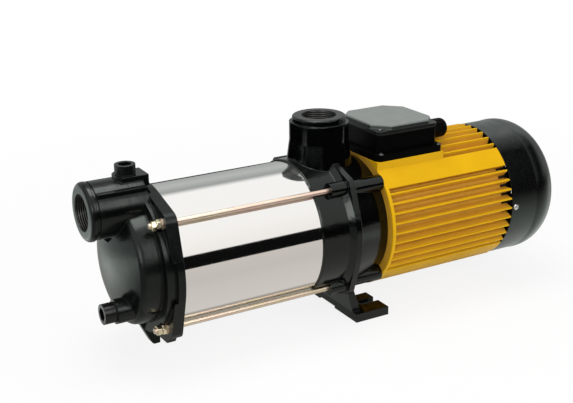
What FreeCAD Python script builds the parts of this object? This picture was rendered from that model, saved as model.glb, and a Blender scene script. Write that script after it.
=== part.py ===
"""Horizontal multistage pump with a close-coupled, fan-cooled motor.

Millimetres, +Z up. The origin lies on the base plane at the middle of the foot. +X runs from the
suction end to the motor. Every piece is drawn from the shaft axis and lifted by the axis height.
"""
import FreeCAD, Part
import Sketcher
import math
import os

Vector = FreeCAD.Vector
Rotation = FreeCAD.Rotation
Placement = FreeCAD.Placement

doc = FreeCAD.newDocument("multistage_pump")
sheet = doc.addObject("Spreadsheet::Sheet", "Sizes")


# Sizes that carry their sheet expression


class Dim:
    """A length known as a number and as the sheet expression that gives it."""

    def __init__(self, number, text):
        self.number = float(number)
        self.text = text

    def join(self, sign, other, number):
        text = other.text if isinstance(other, Dim) else "(%.9g)" % other
        return Dim(number, "(%s %s %s)" % (self.text, sign, text))

    def __add__(self, other):
        return self.join("+", other, self.number + value(other))

    def __sub__(self, other):
        return self.join("-", other, self.number - value(other))

    def __mul__(self, other):
        return self.join("*", other, self.number * value(other))

    def __truediv__(self, other):
        return self.join("/", other, self.number / value(other))

    def __neg__(self):
        return Dim(-self.number, "(0 - %s)" % self.text)

    def __radd__(self, other):
        return fixed(other) + self

    def __rsub__(self, other):
        return fixed(other) - self

    def __rmul__(self, other):
        return fixed(other) * self


def value(item):
    """The plain number behind a size or a number."""
    return item.number if isinstance(item, Dim) else float(item)


def fixed(number):
    """A plain number in the form of a size."""
    return Dim(number, "(%.9g)" % number)


def as_dim(item):
    """Either a size as it is, or a number as a size."""
    return item if isinstance(item, Dim) else fixed(item)


sheet_rows = []


def size(name, number):
    """Enter a driving size in the sheet under its own name."""
    sheet_rows.append(name)
    row = len(sheet_rows)
    sheet.set("A%d" % row, name)
    sheet.set("B%d" % row, "%.9g" % number)
    sheet.setAlias("B%d" % row, name)
    return Dim(number, "Sizes.%s" % name)


# Driving sizes

axis_height = size("axis_height", 106)
fit_gap = size("fit_gap", 0.05)
running_gap = size("running_gap", 0.3)

shell_r = size("shell_r", 76.5)
shell_wall = size("shell_wall", 2)
shell_front_x = size("shell_front_x", -238.7)
shell_rear_x = size("shell_rear_x", -75)
shell_socket = size("shell_socket", 5)

flange_r = size("flange_r", 82)
flange_width = size("flange_width", 12)
flange_rim_width = size("flange_rim_width", 8)
step_ring_r = size("step_ring_r", 77.5)
step_ring_width = size("step_ring_width", 6)
dome_r = size("dome_r", 65)
dome_base_r = size("dome_base_r", 67)
dome_length = size("dome_length", 20)
dome_crown = size("dome_crown", 15)
dome_edge_round = size("dome_edge_round", 8)
casing_wall = size("casing_wall", 6)
gasket_width = size("gasket_width", 1.5)

port_r = size("port_r", 30)
port_thread_r = size("port_thread_r", 19.5)
port_thread_length = size("port_thread_length", 22)
suction_rise = size("suction_rise", 63)
suction_port_x = size("suction_port_x", -313.6)
suction_body_r = size("suction_body_r", 30.2)
suction_ring_r = size("suction_ring_r", 31)
suction_ring_width = size("suction_ring_width", 7)
ring_edge_round = size("ring_edge_round", 5)
suction_groove_width = size("suction_groove_width", 3)
passage_r = size("passage_r", 17)
port_rib_width = size("port_rib_width", 6)
port_shelf_half = size("port_shelf_half", 24.5)
port_shelf_rise = size("port_shelf_rise", 24)
port_shelf_width = size("port_shelf_width", 4)
filler_pad_height = size("filler_pad_height", 96)
filler_pad_length = size("filler_pad_length", 32)
filler_pad_width = size("filler_pad_width", 26)
filler_x = size("filler_x", -264.4)
plug_head_r = size("plug_head_r", 10.8)
filler_head_length = size("filler_head_length", 9.2)
drain_head_length = size("drain_head_length", 11.7)
plug_socket_r = size("plug_socket_r", 6.5)
plug_socket_depth = size("plug_socket_depth", 8)
plug_shank_r = size("plug_shank_r", 8.3)
plug_shank_length = size("plug_shank_length", 9)
plug_seal_width = size("plug_seal_width", 1.5)
plug_seal_r = size("plug_seal_r", 10.6)
drain_side = size("drain_side", 30)
drain_drop = size("drain_drop", 38)
drain_boss_r = size("drain_boss_r", 13)
drain_boss_x = size("drain_boss_x", -297)

rod_circle_r = size("rod_circle_r", 80.4)
rod_r = size("rod_r", 3)
rod_grip = size("rod_grip", 18)
rod_tail = size("rod_tail", 14.8)
lug_r = size("lug_r", 12)
nut_across = size("nut_across", 10)
nut_height = size("nut_height", 5.2)
washer_r = size("washer_r", 6)
washer_width = size("washer_width", 1.6)
keel_drop = size("keel_drop", 98.3)
keel_width = size("keel_width", 12)
low_lug_deg = size("low_lug_deg", 60)
low_lug_r = size("low_lug_r", 10)

drum_r = size("drum_r", 78.5)
drum_rear_x = size("drum_rear_x", -42)
ring_front_x = size("ring_front_x", -36)
ring_rear_x = size("ring_rear_x", -29)
ring_r = size("ring_r", 84)
lantern_front_r = size("lantern_front_r", 81)
lantern_rear_r = size("lantern_rear_r", 72.3)
motor_face_x = size("motor_face_x", 12.2)
rod_boss_r = size("rod_boss_r", 8.7)
rod_boss_x = size("rod_boss_x", -57)
motor_boss_r = size("motor_boss_r", 9)
motor_bolt_circle_r = size("motor_bolt_circle_r", 76)
motor_bolt_r = size("motor_bolt_r", 2.5)

discharge_x = size("discharge_x", -33.6)
discharge_top = size("discharge_top", 126)
discharge_ring_width = size("discharge_ring_width", 7)
discharge_half = size("discharge_half", 31)
discharge_round = size("discharge_round", 25)
flare_half = size("flare_half", 35)
flare_round = size("flare_round", 28)
flare_low = size("flare_low", 66)
flare_high = size("flare_high", 98)
port_edge_round = size("port_edge_round", 2)
chamber_rear_x = size("chamber_rear_x", -46)
wall_rear_x = size("wall_rear_x", -34)
chamber_r = size("chamber_r", 72)
elbow_r = size("elbow_r", 12)
lantern_wall = size("lantern_wall", 7)
spigot_length = size("spigot_length", 4)

foot_length = size("foot_length", 44)
foot_half_width = size("foot_half_width", 63)
foot_inner = size("foot_inner", 16.5)
foot_height = size("foot_height", 10)
foot_relief = size("foot_relief", 2.5)
slot_side = size("slot_side", 37)
slot_width = size("slot_width", 10)
slot_x = size("slot_x", 2)
web_width = size("web_width", 5)
web_half = size("web_half", 55)

stack_front_x = size("stack_front_x", -231)
stage_pitch = size("stage_pitch", 38)
plate_width = size("plate_width", 2.5)
stage_wall = size("stage_wall", 2.8)
impeller_r = size("impeller_r", 58)
eye_r = size("eye_r", 21.5)
neck_wall = size("neck_wall", 2.4)
neck_ring_wall = size("neck_ring_wall", 2.4)
shroud_width = size("shroud_width", 2)
vane_width = size("vane_width", 7)
vane_thickness = size("vane_thickness", 2)
hub_r = size("hub_r", 13)
hub_start = size("hub_start", 6)
hub_length = size("hub_length", 16)
guide_gap = size("guide_gap", 2.5)
guide_disc_x = size("guide_disc_x", 22)
guide_disc_width = size("guide_disc_width", 3)
spacer_r = size("spacer_r", 11)

shaft_r = size("shaft_r", 8)
shaft_front_x = size("shaft_front_x", -237)
key_width = size("key_width", 5)
key_height = size("key_height", 5)
key_top = size("key_top", 10)
front_journal_r = size("front_journal_r", 10)
core_journal_r = size("core_journal_r", 13)
rear_journal_r = size("rear_journal_r", 8.5)
fan_journal_r = size("fan_journal_r", 7)
shaft_end_x = size("shaft_end_x", 222)

seal_seat_r = size("seal_seat_r", 13)
seal_cup_r = size("seal_cup_r", 14.2)
seal_bore_r = size("seal_bore_r", 9.2)
seal_seat_width = size("seal_seat_width", 7)
seal_face_width = size("seal_face_width", 4)
bellows_length = size("bellows_length", 12)
spring_r = size("spring_r", 12.6)
spring_wire_r = size("spring_wire_r", 0.9)
slinger_x = size("slinger_x", -27)
slinger_r = size("slinger_r", 22)

front_bearing_x = size("front_bearing_x", -5)
front_bearing_r = size("front_bearing_r", 23.5)
front_bearing_width = size("front_bearing_width", 14)
rear_bearing_x = size("rear_bearing_x", 168)
rear_bearing_r = size("rear_bearing_r", 20)
rear_bearing_width = size("rear_bearing_width", 12)
wave_width = size("wave_width", 1)

motor_r = size("motor_r", 82.3)
motor_core_r = size("motor_core_r", 73.5)
motor_bore_r = size("motor_bore_r", 66)
motor_rear_x = size("motor_rear_x", 184)
fin_overhang = size("fin_overhang", 9)
rim_width = size("rim_width", 5)
fin_pitch_deg = size("fin_pitch_deg", 8)
fin_base = size("fin_base", 7.4)
fin_tip = size("fin_tip", 1.6)
band_start_deg = size("band_start_deg", 36.5)
box_pad_rise = size("box_pad_rise", 75)
box_pad_rear_x = size("box_pad_rear_x", 104.5)
box_half = size("box_half", 49)
stator_front_x = size("stator_front_x", 52)
stator_length = size("stator_length", 90)
stator_bore_r = size("stator_bore_r", 38)
coil_length = size("coil_length", 20)
air_gap = size("air_gap", 0.4)
end_ring_width = size("end_ring_width", 8)

shield_width = size("shield_width", 5)
shield_r = size("shield_r", 71.5)
hub_front_x = size("hub_front_x", 165)
hub_wall = size("hub_wall", 6)
shield_lug_r = size("shield_lug_r", 3.9)
tab_r = size("tab_r", 79.6)
tab_length = size("tab_length", 11)

cover_r = size("cover_r", 81.5)
cover_wall = size("cover_wall", 1.5)
cover_front_x = size("cover_front_x", 185.5)
cover_rear_x = size("cover_rear_x", 263.8)
cover_round_length = size("cover_round_length", 40)
cover_round_drop = size("cover_round_drop", 21.9)
cover_screw_x = size("cover_screw_x", 190.5)
grille_inner_r = size("grille_inner_r", 20)
grille_outer_r = size("grille_outer_r", 52)
grille_slot = size("grille_slot", 4)

fan_x = size("fan_x", 198)
fan_r = size("fan_r", 62)
fan_disc_width = size("fan_disc_width", 2.5)
fan_blade_length = size("fan_blade_length", 22)
fan_hub_length = size("fan_hub_length", 16)
fan_hub_r = size("fan_hub_r", 13)
clip_width = size("clip_width", 1.2)

box_flange_height = size("box_flange_height", 7.5)
box_wall = size("box_wall", 3)
box_step = size("box_step", 5)
box_top = size("box_top", 103.5)
gasket_height = size("gasket_height", 1.5)
lid_skirt = size("lid_skirt", 3)
lid_top = size("lid_top", 112.6)
lid_front_x = size("lid_front_x", 20)
lid_rear_x = size("lid_rear_x", 98.2)
lid_half = size("lid_half", 40.4)
lid_corner_large = size("lid_corner_large", 17.5)
lid_corner_small = size("lid_corner_small", 12)
box_corner = size("box_corner", 5)
box_screw_inset = size("box_screw_inset", 6)
gland_side = size("gland_side", -18)
gland_rise = size("gland_rise", 93.1)
gland_r = size("gland_r", 11.2)
gland_bore_r = size("gland_bore_r", 5)
gland_thread_r = size("gland_thread_r", 8)
gland_hex_length = size("gland_hex_length", 6)
gland_neck_length = size("gland_neck_length", 8)
gland_seal_length = size("gland_seal_length", 5)
gland_nut_length = size("gland_nut_length", 16.4)

doc.recompute()

# Places that follow from the driving sizes

flange_front_x = shell_front_x - flange_width
step_front_x = flange_front_x - step_ring_width
rim_front_x = shell_front_x - flange_rim_width
dome_edge_x = step_front_x - dome_length
dome_tip_x = dome_edge_x - dome_crown
shell_bore_r = shell_r - shell_wall
cos45 = math.sqrt(0.5)
rod_side = rod_circle_r * cos45
bolt_side = motor_bolt_circle_r * cos45
box_middle_x = (motor_face_x + box_pad_rear_x) / 2
core_end_x = motor_rear_x - fin_overhang
wire_hole_x = box_middle_x - 28


def stage_x(stage):
    """Front face of a stage, counted from 1."""
    return stack_front_x + stage_pitch * (stage - 1)


# Sketches and features

sub_parts = []


def new_body(label):
    """A body for one piece, lifted so that its own X axis is the shaft axis."""
    body = doc.addObject("PartDesign::Body", label)
    body.Label = label
    body.AllowCompound = True
    body.Placement = Placement(Vector(0, 0, axis_height.number), Rotation())
    body.setExpression("Placement.Base.z", axis_height.text)
    sub_parts.append(body)
    return body


def origin_plane(body, role):
    """One of the body's own origin planes."""
    for feature in body.Origin.OriginFeatures:
        if feature.Role == role:
            return feature
    raise ValueError(role)


def flat(x, y):
    return Vector(value(x), value(y), 0)


class Drawing:
    """A sketch on one of a body's planes, with every point held by the sheet."""

    def __init__(self, body, plane, offset=0, turn=0):
        self.sketch = body.newObject("Sketcher::SketchObject", body.Label + "_sketch")
        self.sketch.AttachmentSupport = [(origin_plane(body, plane), "")]
        self.sketch.MapMode = "FlatFace"
        shift = as_dim(offset)
        spin = Rotation(Vector(0, 0, 1), turn)
        self.sketch.AttachmentOffset = Placement(Vector(0, 0, shift.number), spin)
        self.sketch.setExpression("AttachmentOffset.Base.z", shift.text)
        self.constraints = []
        self.texts = []

    def hold(self, constraint, text=None):
        self.constraints.append(constraint)
        self.texts.append(text)

    def hold_point(self, item, end, x, y):
        """Place one point of a line, arc or circle."""
        across, up = as_dim(x), as_dim(y)
        if abs(across.number) < 1e-9:
            self.hold(Sketcher.Constraint("PointOnObject", item, end, -2))
        else:
            self.hold(Sketcher.Constraint("DistanceX", -1, 1, item, end, across.number), across.text)
        if abs(up.number) < 1e-9:
            self.hold(Sketcher.Constraint("PointOnObject", item, end, -1))
        else:
            self.hold(Sketcher.Constraint("DistanceY", -1, 1, item, end, up.number), up.text)

    def outline(self, corners):
        """Closed outline of (x, y) corners; a third entry is a point that an arc to the next corner passes."""
        ends = []
        count = len(corners)
        for index, corner in enumerate(corners):
            after = corners[(index + 1) % count]
            start, stop = flat(corner[0], corner[1]), flat(after[0], after[1])
            if len(corner) == 2:
                item = self.sketch.addGeometry(Part.LineSegment(start, stop), False)
                ends.append((item, 1, 2))
                continue
            via = corner[2]
            item = self.sketch.addGeometry(Part.Arc(start, flat(via[0], via[1]), stop), False)
            forward = (self.sketch.getPoint(item, 1) - start).Length < 1e-6
            ends.append((item, 1, 2) if forward else (item, 2, 1))
            mark = self.sketch.addGeometry(Part.Point(flat(via[0], via[1])), True)
            self.hold_point(mark, 1, via[0], via[1])
            self.hold(Sketcher.Constraint("PointOnObject", mark, 1, item))
        for index, (item, first, last) in enumerate(ends):
            self.hold_point(item, first, corners[index][0], corners[index][1])
            following = ends[(index + 1) % count]
            self.hold(Sketcher.Constraint("Coincident", item, last, following[0], following[1]))
        return self

    def circle(self, x, y, radius):
        """A circle of the given radius."""
        round_size = as_dim(radius)
        item = self.sketch.addGeometry(Part.Circle(flat(x, y), Vector(0, 0, 1), round_size.number), False)
        self.hold_point(item, 3, x, y)
        self.hold(Sketcher.Constraint("Radius", item, round_size.number), round_size.text)
        return self

    def done(self):
        """Put all constraints into the sketch at once and tie them to the sheet."""
        self.sketch.addConstraint(self.constraints)
        for index, text in enumerate(self.texts):
            if text and "Sizes" in text:
                self.sketch.setExpression("Constraints[%d]" % index, text)
        return self.sketch


def revolved(body, drawing, cut=False, axis="H_Axis", angle=360):
    """Turn a drawing about its own horizontal or vertical axis."""
    kind = "PartDesign::Groove" if cut else "PartDesign::Revolution"
    sketch = drawing.done()
    feature = body.newObject(kind, body.Label + ("_groove" if cut else "_turning"))
    feature.Profile = sketch
    feature.ReferenceAxis = (sketch, [axis])
    feature.Angle = angle
    body.Tip = feature
    return feature


def raised(body, drawing, length, back=False, both=False):
    """Pad a drawing along its plane's normal, against it, or to both sides."""
    sketch = drawing.done()
    feature = body.newObject("PartDesign::Pad", body.Label + "_pad")
    feature.Profile = sketch
    reach = as_dim(length)
    feature.Length = reach.number
    feature.setExpression("Length", reach.text)
    feature.Reversed = back
    feature.Midplane = both
    body.Tip = feature
    return feature


def sunk(body, drawing, depth, forward=False, both=False):
    """Pocket a drawing against its plane's normal, or along it where forward is set."""
    sketch = drawing.done()
    feature = body.newObject("PartDesign::Pocket", body.Label + "_pocket")
    feature.Profile = sketch
    reach = as_dim(depth)
    feature.Length = reach.number
    feature.setExpression("Length", reach.text)
    feature.Reversed = forward
    feature.Midplane = both
    body.Tip = feature
    return feature


def ring_of(body, features, count):
    """Repeat features evenly about the shaft axis."""
    pattern = body.newObject("PartDesign::PolarPattern", body.Label + "_pattern")
    pattern.Originals = features
    pattern.Axis = (origin_plane(body, "X_Axis"), [""])
    pattern.Angle = 360
    pattern.Occurrences = count
    body.Tip = pattern
    return pattern


def turned(label, corners):
    """A piece turned about the shaft axis from an (x, r) outline."""
    body = new_body(label)
    revolved(body, Drawing(body, "XZ_Plane").outline(corners))
    return body


def washer_outline(x_front, x_rear, inner, outer):
    """Rectangular half-section of a ring."""
    return [(x_front, inner), (x_rear, inner), (x_rear, outer), (x_front, outer)]


def polar(radius, degrees):
    """A point at a radius and an angle, as a pair of sizes."""
    angle = math.radians(degrees)
    return (as_dim(radius) * math.cos(angle), as_dim(radius) * math.sin(angle))


def lug_outline(rim_r, centre_r, lug, degrees):
    """Hull of a rim circle and a lug circle, on the lug's side of the rim."""
    spread = math.degrees(math.acos((value(rim_r) - value(lug)) / value(centre_r)))
    centre = polar(centre_r, degrees)

    def on_lug(turn):
        offset = polar(lug, turn)
        return (centre[0] + offset[0], centre[1] + offset[1])

    low, high = degrees - spread, degrees + spread
    tip = on_lug(degrees)
    rim_low, rim_high = polar(rim_r, low), polar(rim_r, high)
    lug_low, lug_high = on_lug(low), on_lug(high)
    return [rim_low, (lug_low[0], lug_low[1], tip), lug_high, rim_high]


def regular(radius_across, sides, x=0, y=0, turn=0):
    """Corners of a regular polygon from its half width across flats."""
    corner_r = as_dim(radius_across) / math.cos(math.pi / sides)
    corners = []
    for index in range(sides):
        point = polar(corner_r, turn + 360.0 * index / sides)
        corners.append((as_dim(x) + point[0], as_dim(y) + point[1]))
    return corners


def rounded_edges(body, radius, wanted):
    """Fillet the edges for which wanted(edge) is true."""
    doc.recompute()
    base = body.Tip
    names = ["Edge%d" % (i + 1) for i, edge in enumerate(base.Shape.Edges)
             if not edge.Degenerated and wanted(edge)]
    feature = body.newObject("PartDesign::Fillet", body.Label + "_round")
    feature.Base = (base, names)
    reach = as_dim(radius)
    feature.Radius = reach.number
    feature.setExpression("Radius", reach.text)
    body.Tip = feature
    return feature


def is_ring(edge, x, radius, tolerance=0.2):
    """Whether an edge is a circle about the shaft axis at this place."""
    if not isinstance(edge.Curve, Part.Circle):
        return False
    centre = edge.Curve.Center
    off_axis = math.hypot(centre.y, centre.z)
    return (off_axis < tolerance and abs(centre.x - value(x)) < tolerance
            and abs(edge.Curve.Radius - value(radius)) < tolerance)


# Suction casing: dome, flange with four lugs, threaded port, filler pad and drain boss

body = new_body("suction_casing")
crown_r = (dome_r * dome_r + dome_crown * dome_crown) / (dome_crown * 2)
crown_half = math.asin(dome_r.number / crown_r.number) / 2
crown_mid = (dome_tip_x + crown_r * (1 - math.cos(crown_half)), crown_r * math.sin(crown_half))
spigot_end_x = shell_front_x + shell_socket
revolved(body, Drawing(body, "XZ_Plane").outline([
    (dome_tip_x, 0, crown_mid),
    (dome_edge_x, dome_r),
    (step_front_x, dome_base_r),
    (step_front_x, step_ring_r),
    (rim_front_x, step_ring_r),
    (rim_front_x, flange_r),
    (shell_front_x, flange_r),
    (shell_front_x, shell_bore_r - fit_gap),
    (spigot_end_x, shell_bore_r - fit_gap),
    (spigot_end_x, 0)]))
rounded_edges(body, dome_edge_round, lambda edge: is_ring(edge, dome_edge_x, dome_r))
lug = raised(body, Drawing(body, "YZ_Plane", flange_front_x).outline(
    lug_outline(flange_r, rod_circle_r, lug_r, 45)), flange_width)
ring_of(body, [lug], 4)
for side in (-1, 1):
    raised(body, Drawing(body, "YZ_Plane", rim_front_x).outline(
        lug_outline(flange_r, flange_r, low_lug_r, -90 + (90 - low_lug_deg.number) * side)), flange_rim_width)
keel_root = 2 - dome_r
raised(body, Drawing(body, "XZ_Plane").outline([
    (dome_edge_x + 12, keel_root),
    (rim_front_x - 1.5, 2 - keel_drop),
    (rim_front_x + 0.5, -keel_drop),
    (shell_front_x - 1, -keel_drop),
    (shell_front_x, 1 - keel_drop),
    (shell_front_x, keel_root)]), keel_width, both=True)
raised(body, Drawing(body, "YZ_Plane", suction_port_x).circle(0, suction_rise, suction_ring_r),
       suction_ring_width)
rounded_edges(body, ring_edge_round, lambda edge: isinstance(edge.Curve, Part.Circle)
              and abs(edge.Curve.Center.x - suction_port_x.number) < 0.1)
groove_x = suction_port_x + suction_ring_width
raised(body, Drawing(body, "YZ_Plane", groove_x).circle(0, suction_rise, suction_body_r - 1.5),
       suction_groove_width)
port_body_x = groove_x + suction_groove_width
port_body_length = flange_front_x - port_body_x
raised(body, Drawing(body, "YZ_Plane", port_body_x).circle(0, suction_rise, suction_body_r),
       port_body_length)
shelf_top = suction_rise + port_shelf_rise
raised(body, Drawing(body, "YZ_Plane", port_body_x).outline([
    (-port_shelf_half, shelf_top - port_shelf_width), (port_shelf_half, shelf_top - port_shelf_width),
    (port_shelf_half, shelf_top), (-port_shelf_half, shelf_top)]), port_body_length)
pad_front_x = filler_x - plug_head_r - 1
raised(body, Drawing(body, "XY_Plane", filler_pad_height).outline([
    (pad_front_x + 4, filler_pad_width / -2),
    (pad_front_x + filler_pad_length, filler_pad_width / -2),
    (pad_front_x + filler_pad_length, filler_pad_width / 2),
    (pad_front_x + 4, filler_pad_width / 2),
    (pad_front_x, filler_pad_width / 2 - 5),
    (pad_front_x, filler_pad_width / -2 + 5)]), 12, back=True)
raised(body, Drawing(body, "YZ_Plane", drain_boss_x).circle(-drain_side, -drain_drop, drain_boss_r),
       dome_edge_x - drain_boss_x + 3)
port_bottom = suction_rise - suction_body_r
raised(body, Drawing(body, "XZ_Plane").outline([
    (dome_tip_x - 5, port_bottom + 3),
    (dome_tip_x + 4, port_bottom - 8),
    (dome_edge_x, port_bottom - 8),
    (dome_edge_x, port_bottom + 3)]), port_rib_width, both=True)
cavity_front_x = dome_tip_x + casing_wall + 5
cavity_flat_r = dome_r * 0.58
revolved(body, Drawing(body, "XZ_Plane").outline([
    (cavity_front_x, 0),
    (cavity_front_x, cavity_flat_r),
    (dome_edge_x + casing_wall, dome_r - casing_wall),
    (step_front_x, dome_base_r - casing_wall),
    (spigot_end_x, shell_bore_r - casing_wall),
    (spigot_end_x, 0)]), cut=True)
sunk(body, Drawing(body, "YZ_Plane", suction_port_x).circle(0, suction_rise, port_thread_r),
     port_thread_length, forward=True)
thread_end_x = suction_port_x + port_thread_length
sunk(body, Drawing(body, "YZ_Plane", thread_end_x).circle(0, suction_rise, passage_r),
     step_front_x - thread_end_x + 2, forward=True)
revolved(body, Drawing(body, "XZ_Plane").outline(
    washer_outline(shell_front_x - gasket_width, shell_front_x, shell_bore_r - fit_gap, shell_r + fit_gap)),
    cut=True)
sunk(body, Drawing(body, "XY_Plane", filler_pad_height).circle(filler_x, 0, plug_shank_r + fit_gap * 2),
     filler_pad_height - suction_rise)
sunk(body, Drawing(body, "YZ_Plane", drain_boss_x).circle(-drain_side, -drain_drop, plug_shank_r + fit_gap * 2),
     dome_edge_x - drain_boss_x + casing_wall, forward=True)
hole = sunk(body, Drawing(body, "YZ_Plane", flange_front_x - 1).circle(rod_side, rod_side, rod_r + running_gap),
            flange_width + 2, forward=True)
spot_face = sunk(body, Drawing(body, "YZ_Plane", step_front_x - 1).circle(rod_side, rod_side, washer_r + 1),
                 step_ring_width + 1, forward=True)
ring_of(body, [hole, spot_face], 4)


# Plugs: round heads with a hexagon socket, each on a flat seal

def plug_features(body, plane, x, y, seat, head_length, outward):
    """A plug whose head stands off its seat along the plane's normal, or against it."""
    away = 1 if outward else -1
    head_start = seat + plug_seal_width * away
    raised(body, Drawing(body, plane, head_start).circle(x, y, plug_head_r), head_length, back=not outward)
    raised(body, Drawing(body, plane, head_start).circle(x, y, plug_shank_r),
           plug_seal_width + plug_shank_length, back=outward)
    top = head_start + head_length * away
    sunk(body, Drawing(body, plane, top).outline(regular(plug_socket_r, 6, x, y)), plug_socket_depth,
         forward=not outward)


body = new_body("filler_plug")
plug_features(body, "XY_Plane", filler_x, 0, filler_pad_height, filler_head_length, True)
body = new_body("filler_plug_seal")
raised(body, Drawing(body, "XY_Plane", filler_pad_height).circle(filler_x, 0, plug_seal_r)
       .circle(filler_x, 0, plug_shank_r + fit_gap), plug_seal_width)
body = new_body("drain_plug")
plug_features(body, "YZ_Plane", -drain_side, -drain_drop, drain_boss_x, drain_head_length, False)
body = new_body("drain_plug_seal")
raised(body, Drawing(body, "YZ_Plane", drain_boss_x).circle(-drain_side, -drain_drop, plug_seal_r)
       .circle(-drain_side, -drain_drop, plug_shank_r + fit_gap), plug_seal_width, back=True)


# Outer shell and its two gaskets

shell_end_x = shell_rear_x + shell_socket
turned("pump_shell", washer_outline(shell_front_x, shell_end_x, shell_bore_r, shell_r))
body = new_body("shell_gaskets")
for start in (shell_front_x - gasket_width, shell_end_x):
    revolved(body, Drawing(body, "XZ_Plane").outline(
        washer_outline(start, start + gasket_width, shell_bore_r, shell_r)))


# Tie rods, each with a washer, a nut and a lock nut

rod_front_x = flange_front_x - rod_tail
rod_rear_x = rod_boss_x + rod_grip
body = new_body("tie_rods")
rod = raised(body, Drawing(body, "YZ_Plane", rod_front_x).circle(rod_side, rod_side, rod_r),
             rod_rear_x - rod_front_x)
ring_of(body, [rod], 4)
body = new_body("tie_rod_washers")
washer = raised(body, Drawing(body, "YZ_Plane", flange_front_x).circle(rod_side, rod_side, washer_r)
                .circle(rod_side, rod_side, rod_r + fit_gap), washer_width, back=True)
ring_of(body, [washer], 4)
body = new_body("tie_rod_nuts")
nut_seat_x = flange_front_x - washer_width
nuts = []
for start, turn in ((nut_seat_x, 15), (nut_seat_x - nut_height - fit_gap * 4, 33)):
    nuts.append(raised(body, Drawing(body, "YZ_Plane", start)
                       .outline(regular(nut_across / 2, 6, rod_side, rod_side, turn))
                       .circle(rod_side, rod_side, rod_r + fit_gap), nut_height, back=True))
ring_of(body, nuts, 4)


# Discharge casing: drum, ring with lugs, lantern, upright port, rod and bolt bosses, foot

body = new_body("discharge_casing")
spigot_end = motor_face_x + spigot_length
revolved(body, Drawing(body, "XZ_Plane").outline([
    (shell_rear_x, 0),
    (shell_rear_x, drum_r - 0.8),
    (shell_rear_x + 1, drum_r),
    (drum_rear_x, drum_r),
    (ring_front_x, ring_r),
    (ring_rear_x, ring_r),
    (ring_rear_x, lantern_front_r),
    (motor_face_x, lantern_rear_r),
    (motor_face_x, motor_bore_r - fit_gap),
    (spigot_end, motor_bore_r - fit_gap),
    (spigot_end, 0)]))
lug = raised(body, Drawing(body, "YZ_Plane", ring_front_x).outline(
    lug_outline(ring_r, rod_circle_r, lug_r, 45)), ring_rear_x - ring_front_x)
front_boss = raised(body, Drawing(body, "YZ_Plane", rod_boss_x).circle(rod_side, rod_side, rod_boss_r),
                    ring_front_x - rod_boss_x + 1)
rear_boss = raised(body, Drawing(body, "YZ_Plane", ring_rear_x - 1).circle(bolt_side, bolt_side, motor_boss_r),
                   motor_face_x - ring_rear_x + 1)
ring_of(body, [lug, front_boss, rear_boss], 4)


def port_square(x, half, round_size):
    """Square with rounded corners about a centre on the X axis."""
    near = round_size * (1 - cos45)
    corners = []
    for index, (sx, sy) in enumerate(((1, -1), (1, 1), (-1, 1), (-1, -1))):
        tip = (x + (half - near) * sx, (half - near) * sy)
        first = (x + (half - round_size) * sx, half * sy)
        second = (x + half * sx, (half - round_size) * sy)
        pair = (first, second) if index % 2 == 0 else (second, first)
        corners.append((pair[0][0], pair[0][1], tip))
        corners.append(pair[1])
    return corners


port_base = chamber_r * 0.72
collar_base = discharge_top - discharge_ring_width
raised(body, Drawing(body, "XY_Plane", port_base).outline(port_square(discharge_x, discharge_half, discharge_round)),
       collar_base - port_base)
raised(body, Drawing(body, "XY_Plane", collar_base).circle(discharge_x, 0, port_r), discharge_ring_width)
rounded_edges(body, port_edge_round, lambda edge: isinstance(edge.Curve, Part.Circle)
              and abs(edge.Curve.Center.z - discharge_top.number) < 0.1)
flare_foot = Drawing(body, "XY_Plane", flare_low).outline(port_square(discharge_x, flare_half, flare_round)).done()
flare_top = Drawing(body, "XY_Plane", flare_high).outline(
    port_square(discharge_x, discharge_half, discharge_round)).done()
flare = body.newObject("PartDesign::AdditiveLoft", "discharge_flare")
flare.Profile = flare_foot
flare.Sections = [flare_top]
flare.Ruled = True
body.Tip = flare
foot_front_x = foot_length / -2
foot_bottom = -axis_height
web_top = ring_r * -0.78
for side in (-1, 1):
    inner, outer, slot = foot_inner * side, foot_half_width * side, slot_side * side
    raised(body, Drawing(body, "XY_Plane", foot_bottom).outline([
        (foot_front_x, inner), (foot_length / 2, inner),
        (foot_length / 2, outer), (foot_front_x, outer)]), foot_height)
raised(body, Drawing(body, "XZ_Plane").outline([
    (ring_rear_x + 7, web_top),
    (ring_rear_x - 1, web_top),
    (foot_front_x, foot_bottom + foot_height),
    (foot_front_x, foot_bottom + foot_relief),
    (foot_front_x + web_width * 2, foot_bottom + foot_relief),
    (foot_front_x + web_width * 2, foot_bottom + foot_height)]), web_half * 2, both=True)
for side in (-1, 1):
    slot = slot_side * side
    sunk(body, Drawing(body, "XY_Plane", foot_bottom - 1).outline([
        (slot_x, slot + slot_width / 2, (slot_x - slot_width / 2, slot)),
        (slot_x, slot - slot_width / 2),
        (foot_length, slot - slot_width / 2),
        (foot_length, slot + slot_width / 2)]), foot_height + 2, forward=True)
raised(body, Drawing(body, "XZ_Plane").outline([
    (ring_rear_x, web_top),
    (foot_front_x + 6, foot_bottom + foot_relief + 1),
    (foot_front_x + 16, foot_bottom + foot_relief + 1),
    (motor_face_x - 6, web_top)]), web_width, both=True)
socket_r = shell_r + fit_gap * 2
revolved(body, Drawing(body, "XZ_Plane").outline([
    (shell_rear_x - 1, 0),
    (shell_rear_x - 1, socket_r),
    (shell_end_x + gasket_width, socket_r),
    (shell_end_x + gasket_width, chamber_r),
    (chamber_rear_x - 6, chamber_r),
    (chamber_rear_x, chamber_r - 8),
    (chamber_rear_x, 0)]), cut=True)
seat_end_x = chamber_rear_x + seal_seat_width + 0.5
lantern_bore_front = lantern_front_r - lantern_wall * 2
lantern_bore_rear = lantern_rear_r - lantern_wall
shield_front_x = motor_face_x - 8
bearing_hub_r = front_bearing_r + hub_wall
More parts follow.
